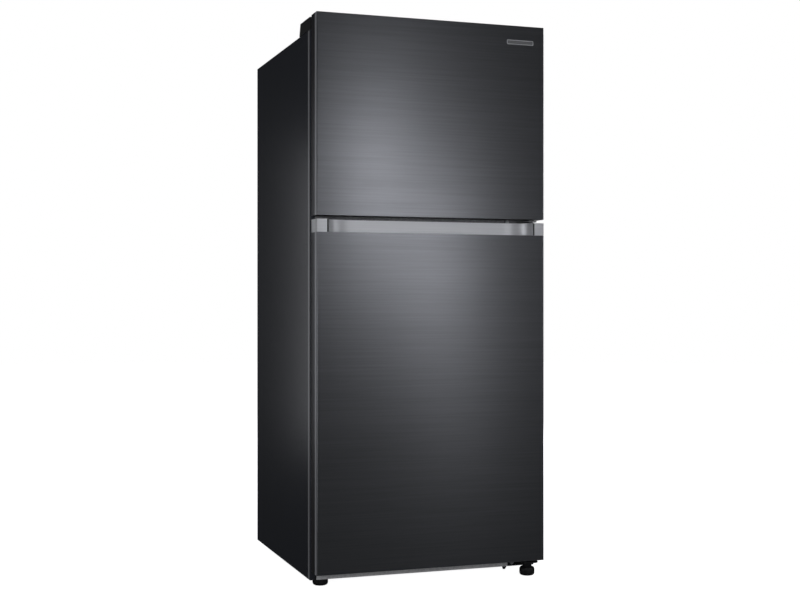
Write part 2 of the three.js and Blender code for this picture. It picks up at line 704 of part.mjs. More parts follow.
// ---------------------------------------------------------------- machine room
function machineRoom() {
  const tray = ROOM.tray;
  const brackets = [-1, 1].flatMap((side) => {
    const inner = ROLLER.width / 2 + 1.5;
    const plates = [-1, 1].map((edge) => {
      const x = side * ROLLER.x + edge * (inner + 1);
      return box([x - 1, x + 1], [ROLLER.y - 13, ROLLER.y + 13], [12, tray + 1]);
    });
    const x = [side * ROLLER.x - inner - 1, side * ROLLER.x + inner + 1];
    return [...plates, cylinder('x', ROLLER.axle, [ROLLER.y, ROLLER.radius], x, 16)];
  });
  const base = join(
    box([-344, 344], [ROOM.front + 4, REAR - 6], [tray, tray + 2]),
    box([-344, 344], [ROOM.front + 4, ROOM.front + 6], [tray, tray + 16]),
    ...brackets,
  );
  add('compressor_base', base, GALVANISED);

  for (const [name, side] of [['roller_left', -1], ['roller_right', 1]]) {
    const x = side * ROLLER.x;
    const span = [x - ROLLER.width / 2, x + ROLLER.width / 2];
    const wheel = cut(
      cylinder('x', ROLLER.radius, [ROLLER.y, ROLLER.radius], span, 32),
      cylinder('x', ROLLER.axle + 0.3, [ROLLER.y, ROLLER.radius], [span[0] - 1, span[1] + 1], 24),
    );
    add(name, wheel, GREY_PLASTIC);
  }

  const centre = { x: 190, y: 296 };
  const shellOutline = [
    [0, 62], [50, 62], [62, 70], [68, 84], [68, 178], [62, 200], [46, 216], [22, 224], [0, 226],
  ].map(([r, z]) => new THREE.Vector2(r, z));
  const shell = new THREE.LatheGeometry(shellOutline, 32).rotateX(Math.PI / 2);
  const feet = [[-78, -52], [78, -52], [-78, 52], [78, 52]].map(([dx, dy]) => (
    cylinder('z', 10, [centre.x + dx, centre.y + dy], [tray + 2 + GAP, 60], 16)
  ));
  const compressor = join(
    solid(shell.translate(centre.x, centre.y, 0)),
    box([centre.x - 92, centre.x + 92], [centre.y - 64, centre.y + 64], [58, 64]),
    ...feet,
  );
  add('compressor', compressor, BLACK_METAL);

  const pass = { left: -288, right: -108, radius: 4 };
  const levels = [62, 97, 132, 167, 202];
  const rows = [268, 326];
  const runs = rows.flatMap((y) => levels.map((z) => (
    cylinder('x', pass.radius, [y, z], [pass.left, pass.right], 8)
  )));
  const bends = rows.flatMap((y) => levels.slice(1).map((z, i) => {
    const side = i % 2 ? -1 : 1;
    const start = side > 0 ? pass.right - 1 : pass.left + 1;
    const points = Array.from({ length: 5 }, (_, k) => {
      const angle = (k * Math.PI) / 4;
      const swing = 17.5;
      return [start + side * swing * Math.sin(angle), y, z - swing - swing * Math.cos(angle)];
    });
    return tube(points, pass.radius, 8);
  }));
  const bridge = cylinder('y', pass.radius, [pass.left, levels[4]], [rows[0], rows[1]], 8);
  const supports = [-240, -150].map((x) => box([x, x + 3], [262, 332], [tray + 2 + GAP, 210]));
  add('condenser_coil', join(runs[0], ...runs.slice(1), ...bends, bridge, ...supports), BLACK_METAL);

  const fan = { y: 294, z: 134 };
  const shroud = join(
    cut(
      box([-30, -26], [226, 362], [tray + 2 + GAP, 226]),
      cylinder('x', 62, [fan.y, fan.z], [-31, -25], 32),
    ),
    box([-28, -24], [226, 362], [fan.z - 8, fan.z + 8]),
    cylinder('x', 22, [fan.y, fan.z], [-27, 10], 20),
    cylinder('x', 2.5, [fan.y, fan.z], [-60, -26], 12),
  );
  add('condenser_fan_shroud', shroud, GREY_PLASTIC);
  add('condenser_fan_blade', fanWheel(58, 16, 20, 5, 2.8).translate([-48, fan.y, fan.z]), BLACK_PLASTIC);

  add('drain_pan', tub([-300, -80], [236, 366], [226, 250], 2.5), BLACK_PLASTIC);

  const pipe = tube([
    [190, 367.6, 140], [184, 373, 146], [170, 375, 152], [60, 375, 172], [-40, 375, 190],
    [-72, 362, 198], [-86, 336, 202], [-107.4 + 2, 326, 202],
  ], 3, 44);
  add('discharge_pipe', pipe, COPPER);

  const coverY = [REAR - 3.7, REAR];
  const vents = [];
  for (let column = 0; column < 12; column += 1) {
    for (const z of [90, 150]) {
      const x = -286 + column * 52;
      vents.push(box([x - 18, x + 18], [REAR - 10, REAR + 1], [z, z + 8]));
    }
  }
  const gland = { x: -310, z: 216 };
  const cover = cut(
    box([INSIDE[0], INSIDE[1]], coverY, [tray - 2, ROOM.ceiling - GAP]),
    ...vents,
    cylinder('y', 9.3, [gland.x, gland.z], [REAR - 10, REAR + 1], 24),
  );
  add('rear_cover', cover, BLACK_METAL);

  const bushing = cut(
    join(
      cylinder('y', 9, [gland.x, gland.z], [REAR - 9, REAR - 0.2], 24),
      cylinder('y', 13, [gland.x, gland.z], [REAR - 9, REAR - 4], 24),
    ),
    cylinder('y', 4, [gland.x, gland.z], [REAR - 12, REAR + 1], 16),
  );
  add('cord_gland', bushing, BLACK_PLASTIC);
}

cabinetShell();
liners();
rails();
topHinge();
middleHinge();
bottomHinge();
leftFootBracket();
foot('foot_left', LEFT_FOOT, 50);
foot('foot_right', RIGHT_FOOT, 44);
freezerDoor();
fridgeDoor();
coldSideParts();
machineRoom();

export default refrigerator;
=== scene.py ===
import json
import math

import bmesh
import bpy
from mathutils import Matrix, Vector


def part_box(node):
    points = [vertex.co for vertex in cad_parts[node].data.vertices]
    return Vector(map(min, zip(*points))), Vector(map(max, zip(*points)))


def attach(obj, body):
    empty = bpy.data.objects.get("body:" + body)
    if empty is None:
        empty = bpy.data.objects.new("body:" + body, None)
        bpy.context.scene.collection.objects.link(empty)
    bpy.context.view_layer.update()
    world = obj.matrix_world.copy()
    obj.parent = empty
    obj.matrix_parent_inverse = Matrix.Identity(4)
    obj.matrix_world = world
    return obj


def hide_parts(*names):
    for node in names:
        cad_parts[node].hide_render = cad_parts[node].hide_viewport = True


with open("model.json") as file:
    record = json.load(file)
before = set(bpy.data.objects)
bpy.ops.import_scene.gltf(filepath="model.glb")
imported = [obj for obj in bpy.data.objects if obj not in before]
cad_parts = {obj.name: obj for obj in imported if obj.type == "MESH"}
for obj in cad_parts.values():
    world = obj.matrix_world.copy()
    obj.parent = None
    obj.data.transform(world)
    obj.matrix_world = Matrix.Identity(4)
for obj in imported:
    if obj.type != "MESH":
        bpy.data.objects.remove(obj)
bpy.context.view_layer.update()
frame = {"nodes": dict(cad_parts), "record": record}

# Top freezer refrigerator, Z up, doors toward -Y. The scene is in metres; shapes are drawn in
# millimetres and scaled when they become objects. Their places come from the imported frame.
MM = 0.001
RECORD = frame["record"]
BODY_OF = {n: body for body, nodes in RECORD["behaviour"]["bodies"].items() for n in nodes}
SLOT_OF = {part["node"]: part["material_slot"] for part in RECORD["subparts"]}


def span(node):
    """A node's box in millimetres."""
    low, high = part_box(node)
    return low / MM, high / MM


def centre_of(node, axes):
    """The middle of a node's box along two axes, such as "xz"."""
    low, high = span(node)
    return tuple((getattr(low, axis) + getattr(high, axis)) / 2 for axis in axes)


def joint_place(name):
    """A joint's position in millimetres."""
    joint = next(j for j in RECORD["behaviour"]["joints"] if j["name"] == name)
    return tuple(metres / MM for metres in joint["pos_m"])


# ---- camera, floor and light
SKY_IN_FRONT = 0.05
SKY_BEHIND = 0.018
SKY_ON_PARTS = 0.10
FLOOR_GLOW = 0.95
LIGHT_TINT = (0.97, 0.98, 1.02)
CAMERA = Vector((-1.3781, -4.0755, 0.8517))
CAMERA_TURN = -math.radians(19.0175)
LENS, SENSOR_WIDTH, LENS_SHIFT = 58.8, 36.0, 0.001
DOOR_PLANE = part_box("fridge_door_skin")[0].y

# The tall soft light in front is a bank of small ones, each named by the point of the door that
# mirrors it toward the camera: (x, z, watts).
FRONT_LIGHT_SIZE = (0.35, 0.35)
FRONT_BANK = [
    (-0.31, 1.24, 4.1),
    (-0.28, 1.02, 1.15),
    (0.0, 1.02, 3.3),
    (0.06, 0.78, 1.0),
    (0.12, 0.5, 0.45),
]

# The other lights: (name, place, the point it faces, size, watts).
CABINET_EDGE = (-0.365, -0.315, 0.9)
STUDIO_LIGHTS = [
    ("rear_left", (-1.9, 2.3, 0.95), CABINET_EDGE, (0.5, 1.6), 3.7),
    ("front_left", (-2.0, -3.0, 0.95), CABINET_EDGE, (1.0, 1.5), 11.0),
    ("front_right", (3.5, -2.4, 1.1), (0.2, -0.35, 1.0), (1.0, 1.2), 9.0),
    ("rear_right", (2.6, 3.6, 2.0), (0.0, 0.4, 0.9), (1.5, 1.5), 60.0),
    ("low_left", (-2.6, -3.4, 0.12), (-0.3, -0.32, 0.04), (1.2, 0.16), 2.5),
    ("overhead", (0.0, -0.4, 4.5), (0.0, 0.0, 0.0), (4.0, 4.0), 40.0),
]


def look_at(obj, target):
    direction = Vector(target) - obj.location
    obj.rotation_euler = direction.to_track_quat("-Z", "Y").to_euler()


def make_camera():
    data = bpy.data.cameras.new("camera")
    data.lens = LENS
    data.sensor_width = SENSOR_WIDTH
    data.shift_y = LENS_SHIFT
    data.clip_end = 100.0
    camera = bpy.data.objects.new("camera", data)
    camera.location = CAMERA
    camera.rotation_euler = (math.radians(90), 0.0, CAMERA_TURN)
    bpy.context.scene.collection.objects.link(camera)
    bpy.context.scene.camera = camera


def soft_light(name, place, target, size, watts):
    data = bpy.data.lights.new(name, "AREA")
    data.shape = "RECTANGLE"
    data.size, data.size_y = size
    data.energy = watts
    data.color = LIGHT_TINT
    light = bpy.data.objects.new(name, data)
    light.location = place
    light.visible_camera = False
    bpy.context.scene.collection.objects.link(light)
    look_at(light, target)


def make_lights():
    for i, (x, z, watts) in enumerate(FRONT_BANK):
        spot = Vector((x, DOOR_PLANE, z))
        back = spot - CAMERA
        back.y = -back.y
        soft_light(f"front_{i}", spot + back, spot, FRONT_LIGHT_SIZE, watts)
    for light in STUDIO_LIGHTS:
        soft_light(*light)


def make_world():
    world = bpy.data.worlds.new("studio")
    world.use_nodes = True
    nodes, links = world.node_tree.nodes, world.node_tree.links
    nodes.clear()

    def sky(colour, strength):
        made = nodes.new("ShaderNodeBackground")
        made.inputs["Color"].default_value = (*colour, 1.0)
        made.inputs["Strength"].default_value = strength
        return made

    # polished parts mirror a studio that is darker behind the body than in front of it
    mirrored = sky((0.92, 0.96, 1.0), SKY_IN_FRONT)
    way = nodes.new("ShaderNodeTexCoord")
    split = nodes.new("ShaderNodeSeparateXYZ")
    fade = nodes.new("ShaderNodeMapRange")
    fade.inputs["From Min"].default_value = -1.0
    fade.inputs["To Min"].default_value = SKY_IN_FRONT
    fade.inputs["To Max"].default_value = SKY_BEHIND
    links.new(way.outputs["Generated"], split.inputs[0])
    links.new(split.outputs["Y"], fade.inputs["Value"])
    links.new(fade.outputs["Result"], mirrored.inputs["Strength"])

    path = nodes.new("ShaderNodeLightPath")
    indirect = nodes.new("ShaderNodeMixShader")
    shown = nodes.new("ShaderNodeMixShader")
    out = nodes.new("ShaderNodeOutputWorld")
    links.new(path.outputs["Is Glossy Ray"], indirect.inputs[0])
    links.new(sky((0.97, 0.98, 1.0), SKY_ON_PARTS).outputs[0], indirect.inputs[1])
    links.new(mirrored.outputs[0], indirect.inputs[2])
    links.new(path.outputs["Is Camera Ray"], shown.inputs[0])
    links.new(indirect.outputs[0], shown.inputs[1])
    links.new(sky((1.0, 1.0, 1.0), 1.0).outputs[0], shown.inputs[2])
    links.new(shown.outputs[0], out.inputs[0])
    bpy.context.scene.world = world
    bpy.context.scene.view_settings.view_transform = "Standard"


def make_floor():
    bm = bmesh.new()
    bmesh.ops.create_circle(bm, cap_ends=True, segments=96, radius=14.0)
    mesh = bpy.data.meshes.new("studio_floor")
    bm.to_mesh(mesh)
    bm.free()
    floor = bpy.data.objects.new("studio_floor", mesh)
    bpy.context.scene.collection.objects.link(floor)
    material = bpy.data.materials.new("studio_floor")
    material.use_nodes = True
    shader = material.node_tree.nodes["Principled BSDF"]
    shader.inputs["Base Color"].default_value = (0.93, 0.93, 0.93, 1.0)
    shader.inputs["Emission Color"].default_value = (1.0, 1.0, 1.0, 1.0)
    shader.inputs["Emission Strength"].default_value = FLOOR_GLOW
    shader.inputs["Roughness"].default_value = 0.9
    shader.inputs["Specular IOR Level"].default_value = 0.0
    mesh.materials.append(material)
    floor.visible_glossy = False
    floor.visible_diffuse = False


make_camera()
make_world()
make_floor()
make_lights()


# ---- materials
# The painted highlight lines down the upright front edges: metres out from the middle, then along Y.
DOOR_EDGE_HIGHLIGHT = (0.3630, -0.3868, -0.3695)
CABINET_EDGE_HIGHLIGHT = (0.3638, -0.3085, -0.2925)
# how much of the metallic the painted highlight band takes away
HIGHLIGHT_DULLING = 0.85


class Shader:
    """One procedural material: each call adds nodes to it."""

    def __init__(self, name, colour, roughness, metallic=0.0, **sockets):
        self.material = bpy.data.materials.new(name)
        self.material.use_nodes = True
        self.tree = self.material.node_tree
        self.principled = self.tree.nodes["Principled BSDF"]
        self.colour = tuple(colour)
        self.roughness = roughness
        self.put("Base Color", (*colour, 1.0))
        self.put("Roughness", roughness)
        self.put("Metallic", metallic)
        for key, value in sockets.items():
            self.put(key.replace("_", " "), value)

    def put(self, socket, value):
        self.principled.inputs[socket].default_value = value

    def node(self, kind, **settings):
        made = self.tree.nodes.new(kind)
        for key, value in settings.items():
            setattr(made, key, value)
        return made

    def link(self, a, b):
        self.tree.links.new(a, b)

    def coordinates(self, scale):
        source = self.node("ShaderNodeTexCoord")
        mapping = self.node("ShaderNodeMapping")
        mapping.inputs["Scale"].default_value = scale
        self.link(source.outputs["Object"], mapping.inputs["Vector"])
        return mapping.outputs["Vector"]

    def noise(self, scale, detail=4.0):
        texture = self.node("ShaderNodeTexNoise")
        texture.inputs["Scale"].default_value = 1.0
        texture.inputs["Detail"].default_value = detail
        self.link(self.coordinates(scale), texture.inputs["Vector"])
        return texture.outputs["Fac"]

    def cells(self, scale):
        texture = self.node("ShaderNodeTexVoronoi")
        texture.inputs["Scale"].default_value = 1.0
        self.link(self.coordinates(scale), texture.inputs["Vector"])
        return texture

    def calculate(self, operation, *values):
        """The result of a Math node; each value is a number or another node's output."""
        made = self.node("ShaderNodeMath", operation=operation)
        for socket, value in zip(made.inputs, values):
            if isinstance(value, float):
                socket.default_value = value
            else:
                self.link(value, socket)
        return made.outputs[0]

    def map_range(self, value, *limits):
        """Maps value, held within the first two limits, onto the last two."""
        ramp = self.node("ShaderNodeMapRange")
        for socket, limit in zip(("From Min", "From Max", "To Min", "To Max"), limits):
            ramp.inputs[socket].default_value = limit
        self.link(value, ramp.inputs["Value"])
        return ramp.outputs["Result"]

    def spread(self, value, low, high):
        """Maps a noise, mostly 0.3 to 0.7, onto low to high."""
        return self.map_range(value, 0.3, 0.7, low, high)

    def vary_colour(self, value, amount):
        mix = self.node("ShaderNodeMix", data_type="RGBA")
        low = [c * (1 - amount) for c in self.colour]
        high = [min(1.0, c * (1 + amount)) for c in self.colour]
        mix.inputs["A"].default_value = (*low, 1.0)
        mix.inputs["B"].default_value = (*high, 1.0)
        self.link(self.spread(value, 0.0, 1.0), mix.inputs["Factor"])
        self.link(mix.outputs["Result"], self.principled.inputs["Base Color"])

    def band(self, axis, low, high, mirrored=False, soft=0.0004):
        """1 between low and high metres along an axis of the object, 0 outside."""
        split = self.node("ShaderNodeSeparateXYZ")
        self.link(self.coordinates((1.0, 1.0, 1.0)), split.inputs[0])
        place = split.outputs[axis]
        if mirrored:
            place = self.calculate("ABSOLUTE", place)
        middle, reach = (low + high) / 2, (high - low) / 2
        distance = self.calculate("ABSOLUTE", self.calculate("SUBTRACT", place, middle))
        return self.map_range(distance, reach - soft, reach + soft, 1.0, 0.0)

    def paint_edge_highlight(self, x_low, y_low, y_high, colour):
        """Paints a highlight down the body's upright front edges: a lighter band standing in for
        light caught on the rounded edge.
        """
        # painted highlight: where this mask is 1 the colour turns lighter and less metallic
        sides = self.band("X", x_low, 1.0, mirrored=True)
        highlight_mask = self.calculate("MULTIPLY", sides, self.band("Y", y_low, y_high))
        base = self.principled.inputs["Base Color"]
        mix = self.node("ShaderNodeMix", data_type="RGBA")
        self.link(base.links[0].from_socket, mix.inputs["A"])
        mix.inputs["B"].default_value = (*colour, 1.0)
        self.link(highlight_mask, mix.inputs["Factor"])
        self.link(mix.outputs["Result"], base)
        metallic = self.principled.inputs["Metallic"]
        shine = metallic.default_value
        if shine > 0.0:
            dull = self.calculate("MULTIPLY_ADD", highlight_mask, -HIGHLIGHT_DULLING * shine, shine)
            self.link(dull, metallic)

    def vary_roughness(self, value, amount):
        result = self.spread(value, self.roughness - amount, self.roughness + amount)
        self.link(result, self.principled.inputs["Roughness"])

    def bump(self, value, distance, strength):
        made = self.node("ShaderNodeBump")
        made.inputs["Strength"].default_value = strength
        made.inputs["Distance"].default_value = distance
        self.link(value, made.inputs["Height"])
        self.link(made.outputs["Normal"], self.principled.inputs["Normal"])


def brushed_steel(name, colour, roughness, anisotropy, metallic, contrast, edge):
    s = Shader(name, colour, roughness, metallic,
               Anisotropic=anisotropy, Anisotropic_Rotation=0.25)
    grain = s.noise((7.0, 7.0, 2400.0), 3.0)
    broad = s.noise((1.6, 1.6, 80.0), 2.0)
    s.vary_colour(s.noise((4.0, 4.0, 240.0), 6.0), contrast)
    s.vary_roughness(broad, 0.012)
    s.bump(grain, 0.00002, 0.2)
    # painted highlight down the upright front edges, in the colour edge
    s.paint_edge_highlight(*DOOR_EDGE_HIGHLIGHT, edge)
    return s.material


def side_paint():
    s = Shader("side_paint", (0.038, 0.041, 0.052), 0.29)
    leather = s.noise((900.0,) * 3, 2.0)
    cloud = s.noise((5.0,) * 3, 2.0)
    s.vary_colour(cloud, 0.03)
    s.vary_roughness(leather, 0.03)
    s.bump(leather, 0.00004, 0.25)
    # painted highlight down the cabinet's front edges, standing in for light on the rolled return
    s.paint_edge_highlight(*CABINET_EDGE_HIGHLIGHT, (0.40, 0.405, 0.42))
    return s.material


def moulded_plastic(name, colour, roughness, grain_size=1400.0, depth=0.00003):
    s = Shader(name, colour, roughness)
    grain = s.noise((grain_size,) * 3, 3.0)
    cloud = s.noise((14.0,) * 3, 2.0)
    s.vary_colour(cloud, 0.04)
    s.vary_roughness(grain, 0.05)
    s.bump(grain, depth, 0.4)
    return s.material


def galvanised_steel(name, colour, metallic):
    s = Shader(name, colour, 0.4, metallic)
    spangle = s.cells((160.0,) * 3)
    fine = s.noise((700.0,) * 3, 3.0)
    s.vary_colour(spangle.outputs["Color"], 0.09)
    s.vary_roughness(fine, 0.07)
    s.bump(fine, 0.00002, 0.3)
    return s.material


def painted_metal():
    s = Shader("black_metal", (0.013, 0.013, 0.015), 0.38, 0.0, Coat_Weight=0.15)
    peel = s.noise((420.0,) * 3, 2.0)
    wear = s.noise((60.0,) * 3, 5.0)
    s.vary_colour(wear, 0.12)
    s.vary_roughness(wear, 0.06)
    s.bump(peel, 0.00006, 0.3)
    return s.material


def see_through(name, colour, roughness, transmission, ior, ripple):
    s = Shader(name, colour, roughness, 0.0, IOR=ior, Transmission_Weight=transmission)
    flow = s.noise((22.0,) * 3, 3.0)
    s.vary_colour(flow, 0.02)
    s.vary_roughness(flow, min(0.03, roughness * 0.6))
    s.bump(s.noise((ripple,) * 3, 2.0), 0.0001, 0.15)
    return s.material


def rubber():
    s = Shader("gasket_rubber", (0.03, 0.03, 0.033), 0.6, 0.0, Specular_IOR_Level=0.35)
    grain = s.noise((600.0,) * 3, 4.0)
    s.vary_colour(grain, 0.15)
    s.vary_roughness(grain, 0.08)
    s.bump(grain, 0.00005, 0.4)
    return s.material


def foam():
    s = Shader("foam", (0.78, 0.62, 0.30), 0.9)
    s.vary_colour(s.noise((30.0,) * 3, 4.0), 0.15)
    s.bump(s.cells((260.0,) * 3).outputs["Distance"], 0.0008, 0.6)
    return s.material


def bare_metal(name, colour, roughness, streak):
    s = Shader(name, colour, roughness, 1.0)
    grain = s.noise(streak)
    s.vary_colour(grain, 0.08)
    s.vary_roughness(grain, 0.06)
    s.bump(grain, 0.00003, 0.2)
    return s.material


MATERIALS = {
    # edge is the colour of the painted highlight down the upright front edges
    "black_steel": brushed_steel(
        "black_steel", (0.205, 0.208, 0.22), roughness=0.30, anisotropy=0.2, metallic=1.0,
        contrast=0.06, edge=(0.60, 0.61, 0.64)),
    "side_paint": side_paint(),
    "satin_silver": brushed_steel(
        "satin_silver", (0.90, 0.905, 0.925), roughness=0.42, anisotropy=0.1, metallic=0.5,
        contrast=0.03, edge=(0.86, 0.865, 0.88)),
    "black_plastic": moulded_plastic("black_plastic", (0.011, 0.011, 0.012), 0.42),
    "cover_plastic": moulded_plastic("cover_plastic", (0.026, 0.026, 0.027), 0.5),
    "grey_plastic": moulded_plastic("grey_plastic", (0.22, 0.225, 0.23), 0.5),
    "white_plastic": moulded_plastic("white_plastic", (0.82, 0.83, 0.84), 0.32, 500.0, 0.00002),
    "galvanised": galvanised_steel("galvanised", (0.56, 0.57, 0.59), 0.8),
    "bright_zinc": galvanised_steel("bright_zinc", (0.95, 0.95, 0.97), 0.0),
    "rail_paint": galvanised_steel("rail_paint", (0.30, 0.30, 0.31), 0.2),
    "black_metal": painted_metal(),
    "clear_plastic": see_through("clear_plastic", (0.90, 0.94, 0.96), 0.08, 0.86, 1.49, 30.0),
    "milky_plastic": see_through("milky_plastic", (0.80, 0.84, 0.87), 0.3, 0.35, 1.49, 30.0),
    "shelf_glass": see_through("shelf_glass", (0.86, 0.95, 0.93), 0.03, 0.95, 1.5, 6.0),
    "gasket_rubber": rubber(),
    "foam": foam(),
    "copper": bare_metal("copper", (0.72, 0.36, 0.21), 0.3, (90.0, 90.0, 90.0)),
    "aluminium": bare_metal("aluminium", (0.72, 0.73, 0.75), 0.35, (8.0, 8.0, 900.0)),
    "frosted_lens": see_through("frosted_lens", (0.95, 0.94, 0.88), 0.45, 0.5, 1.49, 500.0),
}


# ---- mesh helpers, in millimetres
QUARTER = math.pi / 2
SOFT_ANGLE = 32.0
PLACE = {
    "xz": lambda a, b, c: (a, c, b),
    "xy": lambda a, b, c: (a, b, c),
    "yz": lambda a, b, c: (c, a, b),
}
AXIS_PLANE = {"x": "yz", "y": "xz", "z": "xy"}


def smooth_by_angle(mesh, degrees=SOFT_ANGLE):
    mesh.polygons.foreach_set("use_smooth", [True] * len(mesh.polygons))
    mesh.set_sharp_from_angle(angle=math.radians(degrees))


def plain_object(name, bm):
    mesh = bpy.data.meshes.new(name)
    bm.to_mesh(mesh)
    bm.free()
    obj = bpy.data.objects.new(name, mesh)
    bpy.context.scene.collection.objects.link(obj)
    return obj


def piece(name, bm, body, slot, nodes=(), bevel=0.0, segments=3, angle=SOFT_ANGLE, finish=None):
    """An object from bm that rides on body, wears the finish of slot and stands for nodes."""
    bmesh.ops.remove_doubles(bm, verts=bm.verts, dist=0.002)
    bmesh.ops.recalc_face_normals(bm, faces=bm.faces)
    bmesh.ops.scale(bm, vec=(MM, MM, MM), verts=bm.verts)
    obj = plain_object(name, bm)
    smooth_by_angle(obj.data, angle)
    obj.data.materials.append(MATERIALS[finish or slot])
    if bevel:
        rounding = obj.modifiers.new("rounding", "BEVEL")
        rounding.width = bevel * MM
        rounding.segments = segments
        rounding.limit_method = "ANGLE"
        rounding.angle_limit = math.radians(angle)
        rounding.harden_normals = True
    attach(obj, body)
    if nodes:
        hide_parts(*nodes)
    return obj


def from_cad(node, bevel, segments=2, angle=SOFT_ANGLE, finish=None):
    """The CAD node's own shape with its flats merged and every edge rounded."""
    bm = bmesh.new()
    bm.from_mesh(frame["nodes"][node].data)
    bmesh.ops.scale(bm, vec=(1 / MM, 1 / MM, 1 / MM), verts=bm.verts)
    bmesh.ops.remove_doubles(bm, verts=bm.verts, dist=0.001)
    flat = math.radians(1.0)
    bmesh.ops.dissolve_limit(bm, angle_limit=flat, verts=bm.verts, edges=bm.edges)
    finished = f"{node}_finished"
    return piece(finished, bm, BODY_OF[node], SLOT_OF[node], [node], bevel, segments, angle, finish)


def carve(bm, *cutters):
    """bm with the cutters taken away from it, as a new bmesh."""
    target = plain_object("carve_target", bm)
    tools = [plain_object("carve_tool", cutter) for cutter in cutters]
    for tool in tools:
        cut = target.modifiers.new("cut", "BOOLEAN")
        cut.operation = "DIFFERENCE"
        cut.solver = "EXACT"
        cut.object = tool
    bpy.context.view_layer.update()
    graph = bpy.context.evaluated_depsgraph_get()
    result = bpy.data.meshes.new_from_object(target.evaluated_get(graph))
    carved = bmesh.new()
    carved.from_mesh(result)
    for obj in [target, *tools]:
        bpy.data.objects.remove(obj)
    return carved


def arc(cx, cy, radius, start, steps, turn=QUARTER):
    return [
        (cx + radius * math.cos(start + turn * i / steps),
         cy + radius * math.sin(start + turn * i / steps))
        for i in range(steps + 1)
    ]


def rounded_rect(rect, radius, steps=6):
    """Points round (a0, a1, b0, b1), anticlockwise from the lower right corner."""
    a0, a1, b0, b1 = rect
    r = radius
    return (
        arc(a1 - r, b0 + r, r, -QUARTER, steps)
        + arc(a1 - r, b1 - r, r, 0.0, steps)
        + arc(a0 + r, b1 - r, r, QUARTER, steps)
        + arc(a0 + r, b0 + r, r, 2 * QUARTER, steps)
    )


def inset(rect, amount):
    a0, a1, b0, b1 = rect
    return (a0 + amount, a1 - amount, b0 + amount, b1 - amount)


def loft(bm, rings, caps=True, closed=False):
    """Joins rings of equal length with quads; caps fill the ends, closed joins them."""
    made = [[bm.verts.new(p) for p in ring] for ring in rings]
    pairs = list(zip(made, made[1:]))
    if closed:
        pairs.append((made[-1], made[0]))
    for low, high in pairs:
        count = len(low)
        for i in range(count):
            j = (i + 1) % count
            bm.faces.new((low[i], low[j], high[j], high[i]))
    if caps and not closed:
        bm.faces.new(list(reversed(made[0])))
        bm.faces.new(made[-1])
    return bm


def sweep(plane, rect, radius, outline, closed=False, steps=6, bm=None):
    """Carries an outline of (inset, depth) points round a rounded rectangle."""
    rings = []
    for offset, depth in outline:
        ring = rounded_rect(inset(rect, offset), max(radius - offset, 0.3), steps)
        rings.append([PLACE[plane](a, b, depth) for a, b in ring])
    return loft(bm or bmesh.new(), rings, closed=closed)


def prism(plane, points, low, high, bm=None):
    return loft(bm or bmesh.new(), [[PLACE[plane](a, b, c) for a, b in points] for c in (low, high)])


def block(x, y, z, bm=None):
    corners = [(x[0], y[0]), (x[1], y[0]), (x[1], y[1]), (x[0], y[1])]
    return prism("xy", corners, z[0], z[1], bm)


def soft_block(x, y, z, radius, bm=None, plane="xy"):
    """A block with a rounded outline in one plane."""
    spans = {"xy": (x, y, z), "xz": (x, z, y), "yz": (y, z, x)}[plane]
    rect = (*spans[0], *spans[1])
    return prism(plane, rounded_rect(rect, radius, 4), *spans[2], bm)


def turned(axis, centre, stations, sides=40, bm=None, ripple=None):
    """A turned solid through (distance, radius) stations; ripple(angle) is added to wide radii."""
    plane = AXIS_PLANE[axis]
    rings = []
    for along, radius, *rippled in stations:
        ring = []
        for i in range(sides):
            angle = 2 * math.pi * i / sides
            reach = radius + (ripple(angle) if rippled else 0.0)
            a = centre[0] + reach * math.cos(angle)
            b = centre[1] + reach * math.sin(angle)
            ring.append(PLACE[plane](a, b, along))
        rings.append(ring)
    return loft(bm or bmesh.new(), rings)


def pipe(points, radius, sides=12, smooth=1, bm=None):
    """Round tube along the points, or along a smooth curve when smooth is more than 1."""
    path = [Vector(p) for p in points]
    if smooth > 1:
        ends = [path[0], *path, path[-1]]
        fine = []
        for a, b, c, d in zip(ends, ends[1:], ends[2:], ends[3:]):
            for i in range(smooth):
                t = i / smooth
                fine.append(0.5 * (2 * b + (c - a) * t + (2 * a - 5 * b + 4 * c - d) * t ** 2
                                   + (3 * b - a - 3 * c + d) * t ** 3))
        path = [*fine, path[-1]]
    side = None
    rings = []
    for i, point in enumerate(path):
        ahead = (path[min(i + 1, len(path) - 1)] - path[max(i - 1, 0)]).normalized()
        if side is None:
            side = ahead.orthogonal().normalized()
        side = (side - ahead * side.dot(ahead)).normalized()
        up = ahead.cross(side)
        rings.append([
            point + radius * (side * math.cos(2 * math.pi * k / sides)
                              + up * math.sin(2 * math.pi * k / sides))
            for k in range(sides)
        ])
    return loft(bm or bmesh.new(), rings)


def bolt_head(centre, face, size, bm=None):
    """Flanged hex head on a surface at y = face that looks toward the front."""
    x, z = centre
    bm = turned("y", centre, [(face, size * 1.3), (face - 0.8, size * 1.3),
                              (face - 1.5, size * 1.12)], 32, bm)
    rings = []
    for along, scale in ((1.0, 1.0), (3.6, 1.0), (4.2, 0.93)):
        ring = arc(x, z, size * scale, 0.0, 6, 2 * math.pi)[:-1]
        rings.append([(a, face - along, b) for a, b in ring])
    return loft(bm, rings)


def screw_heads(bm, axis, places, face, outward, radius=4.5):
    """Domed screw heads whose tops end at face; outward is the sign of the way they look."""
    for centre in places:
        turned(axis, centre, [
            (face - outward * 1.4, radius), (face - outward * 0.5, radius),
            (face - outward * 0.1, radius * 0.7), (face, radius * 0.35),
        ], 20, bm)
    return bm


# ---- cabinet outside
SHEET = 1.0
DOOR_EDGE = 4.0
HEM = 19.0
RETURN = 15.0
CABINET_FACE = span("cabinet_wrap")[0].y


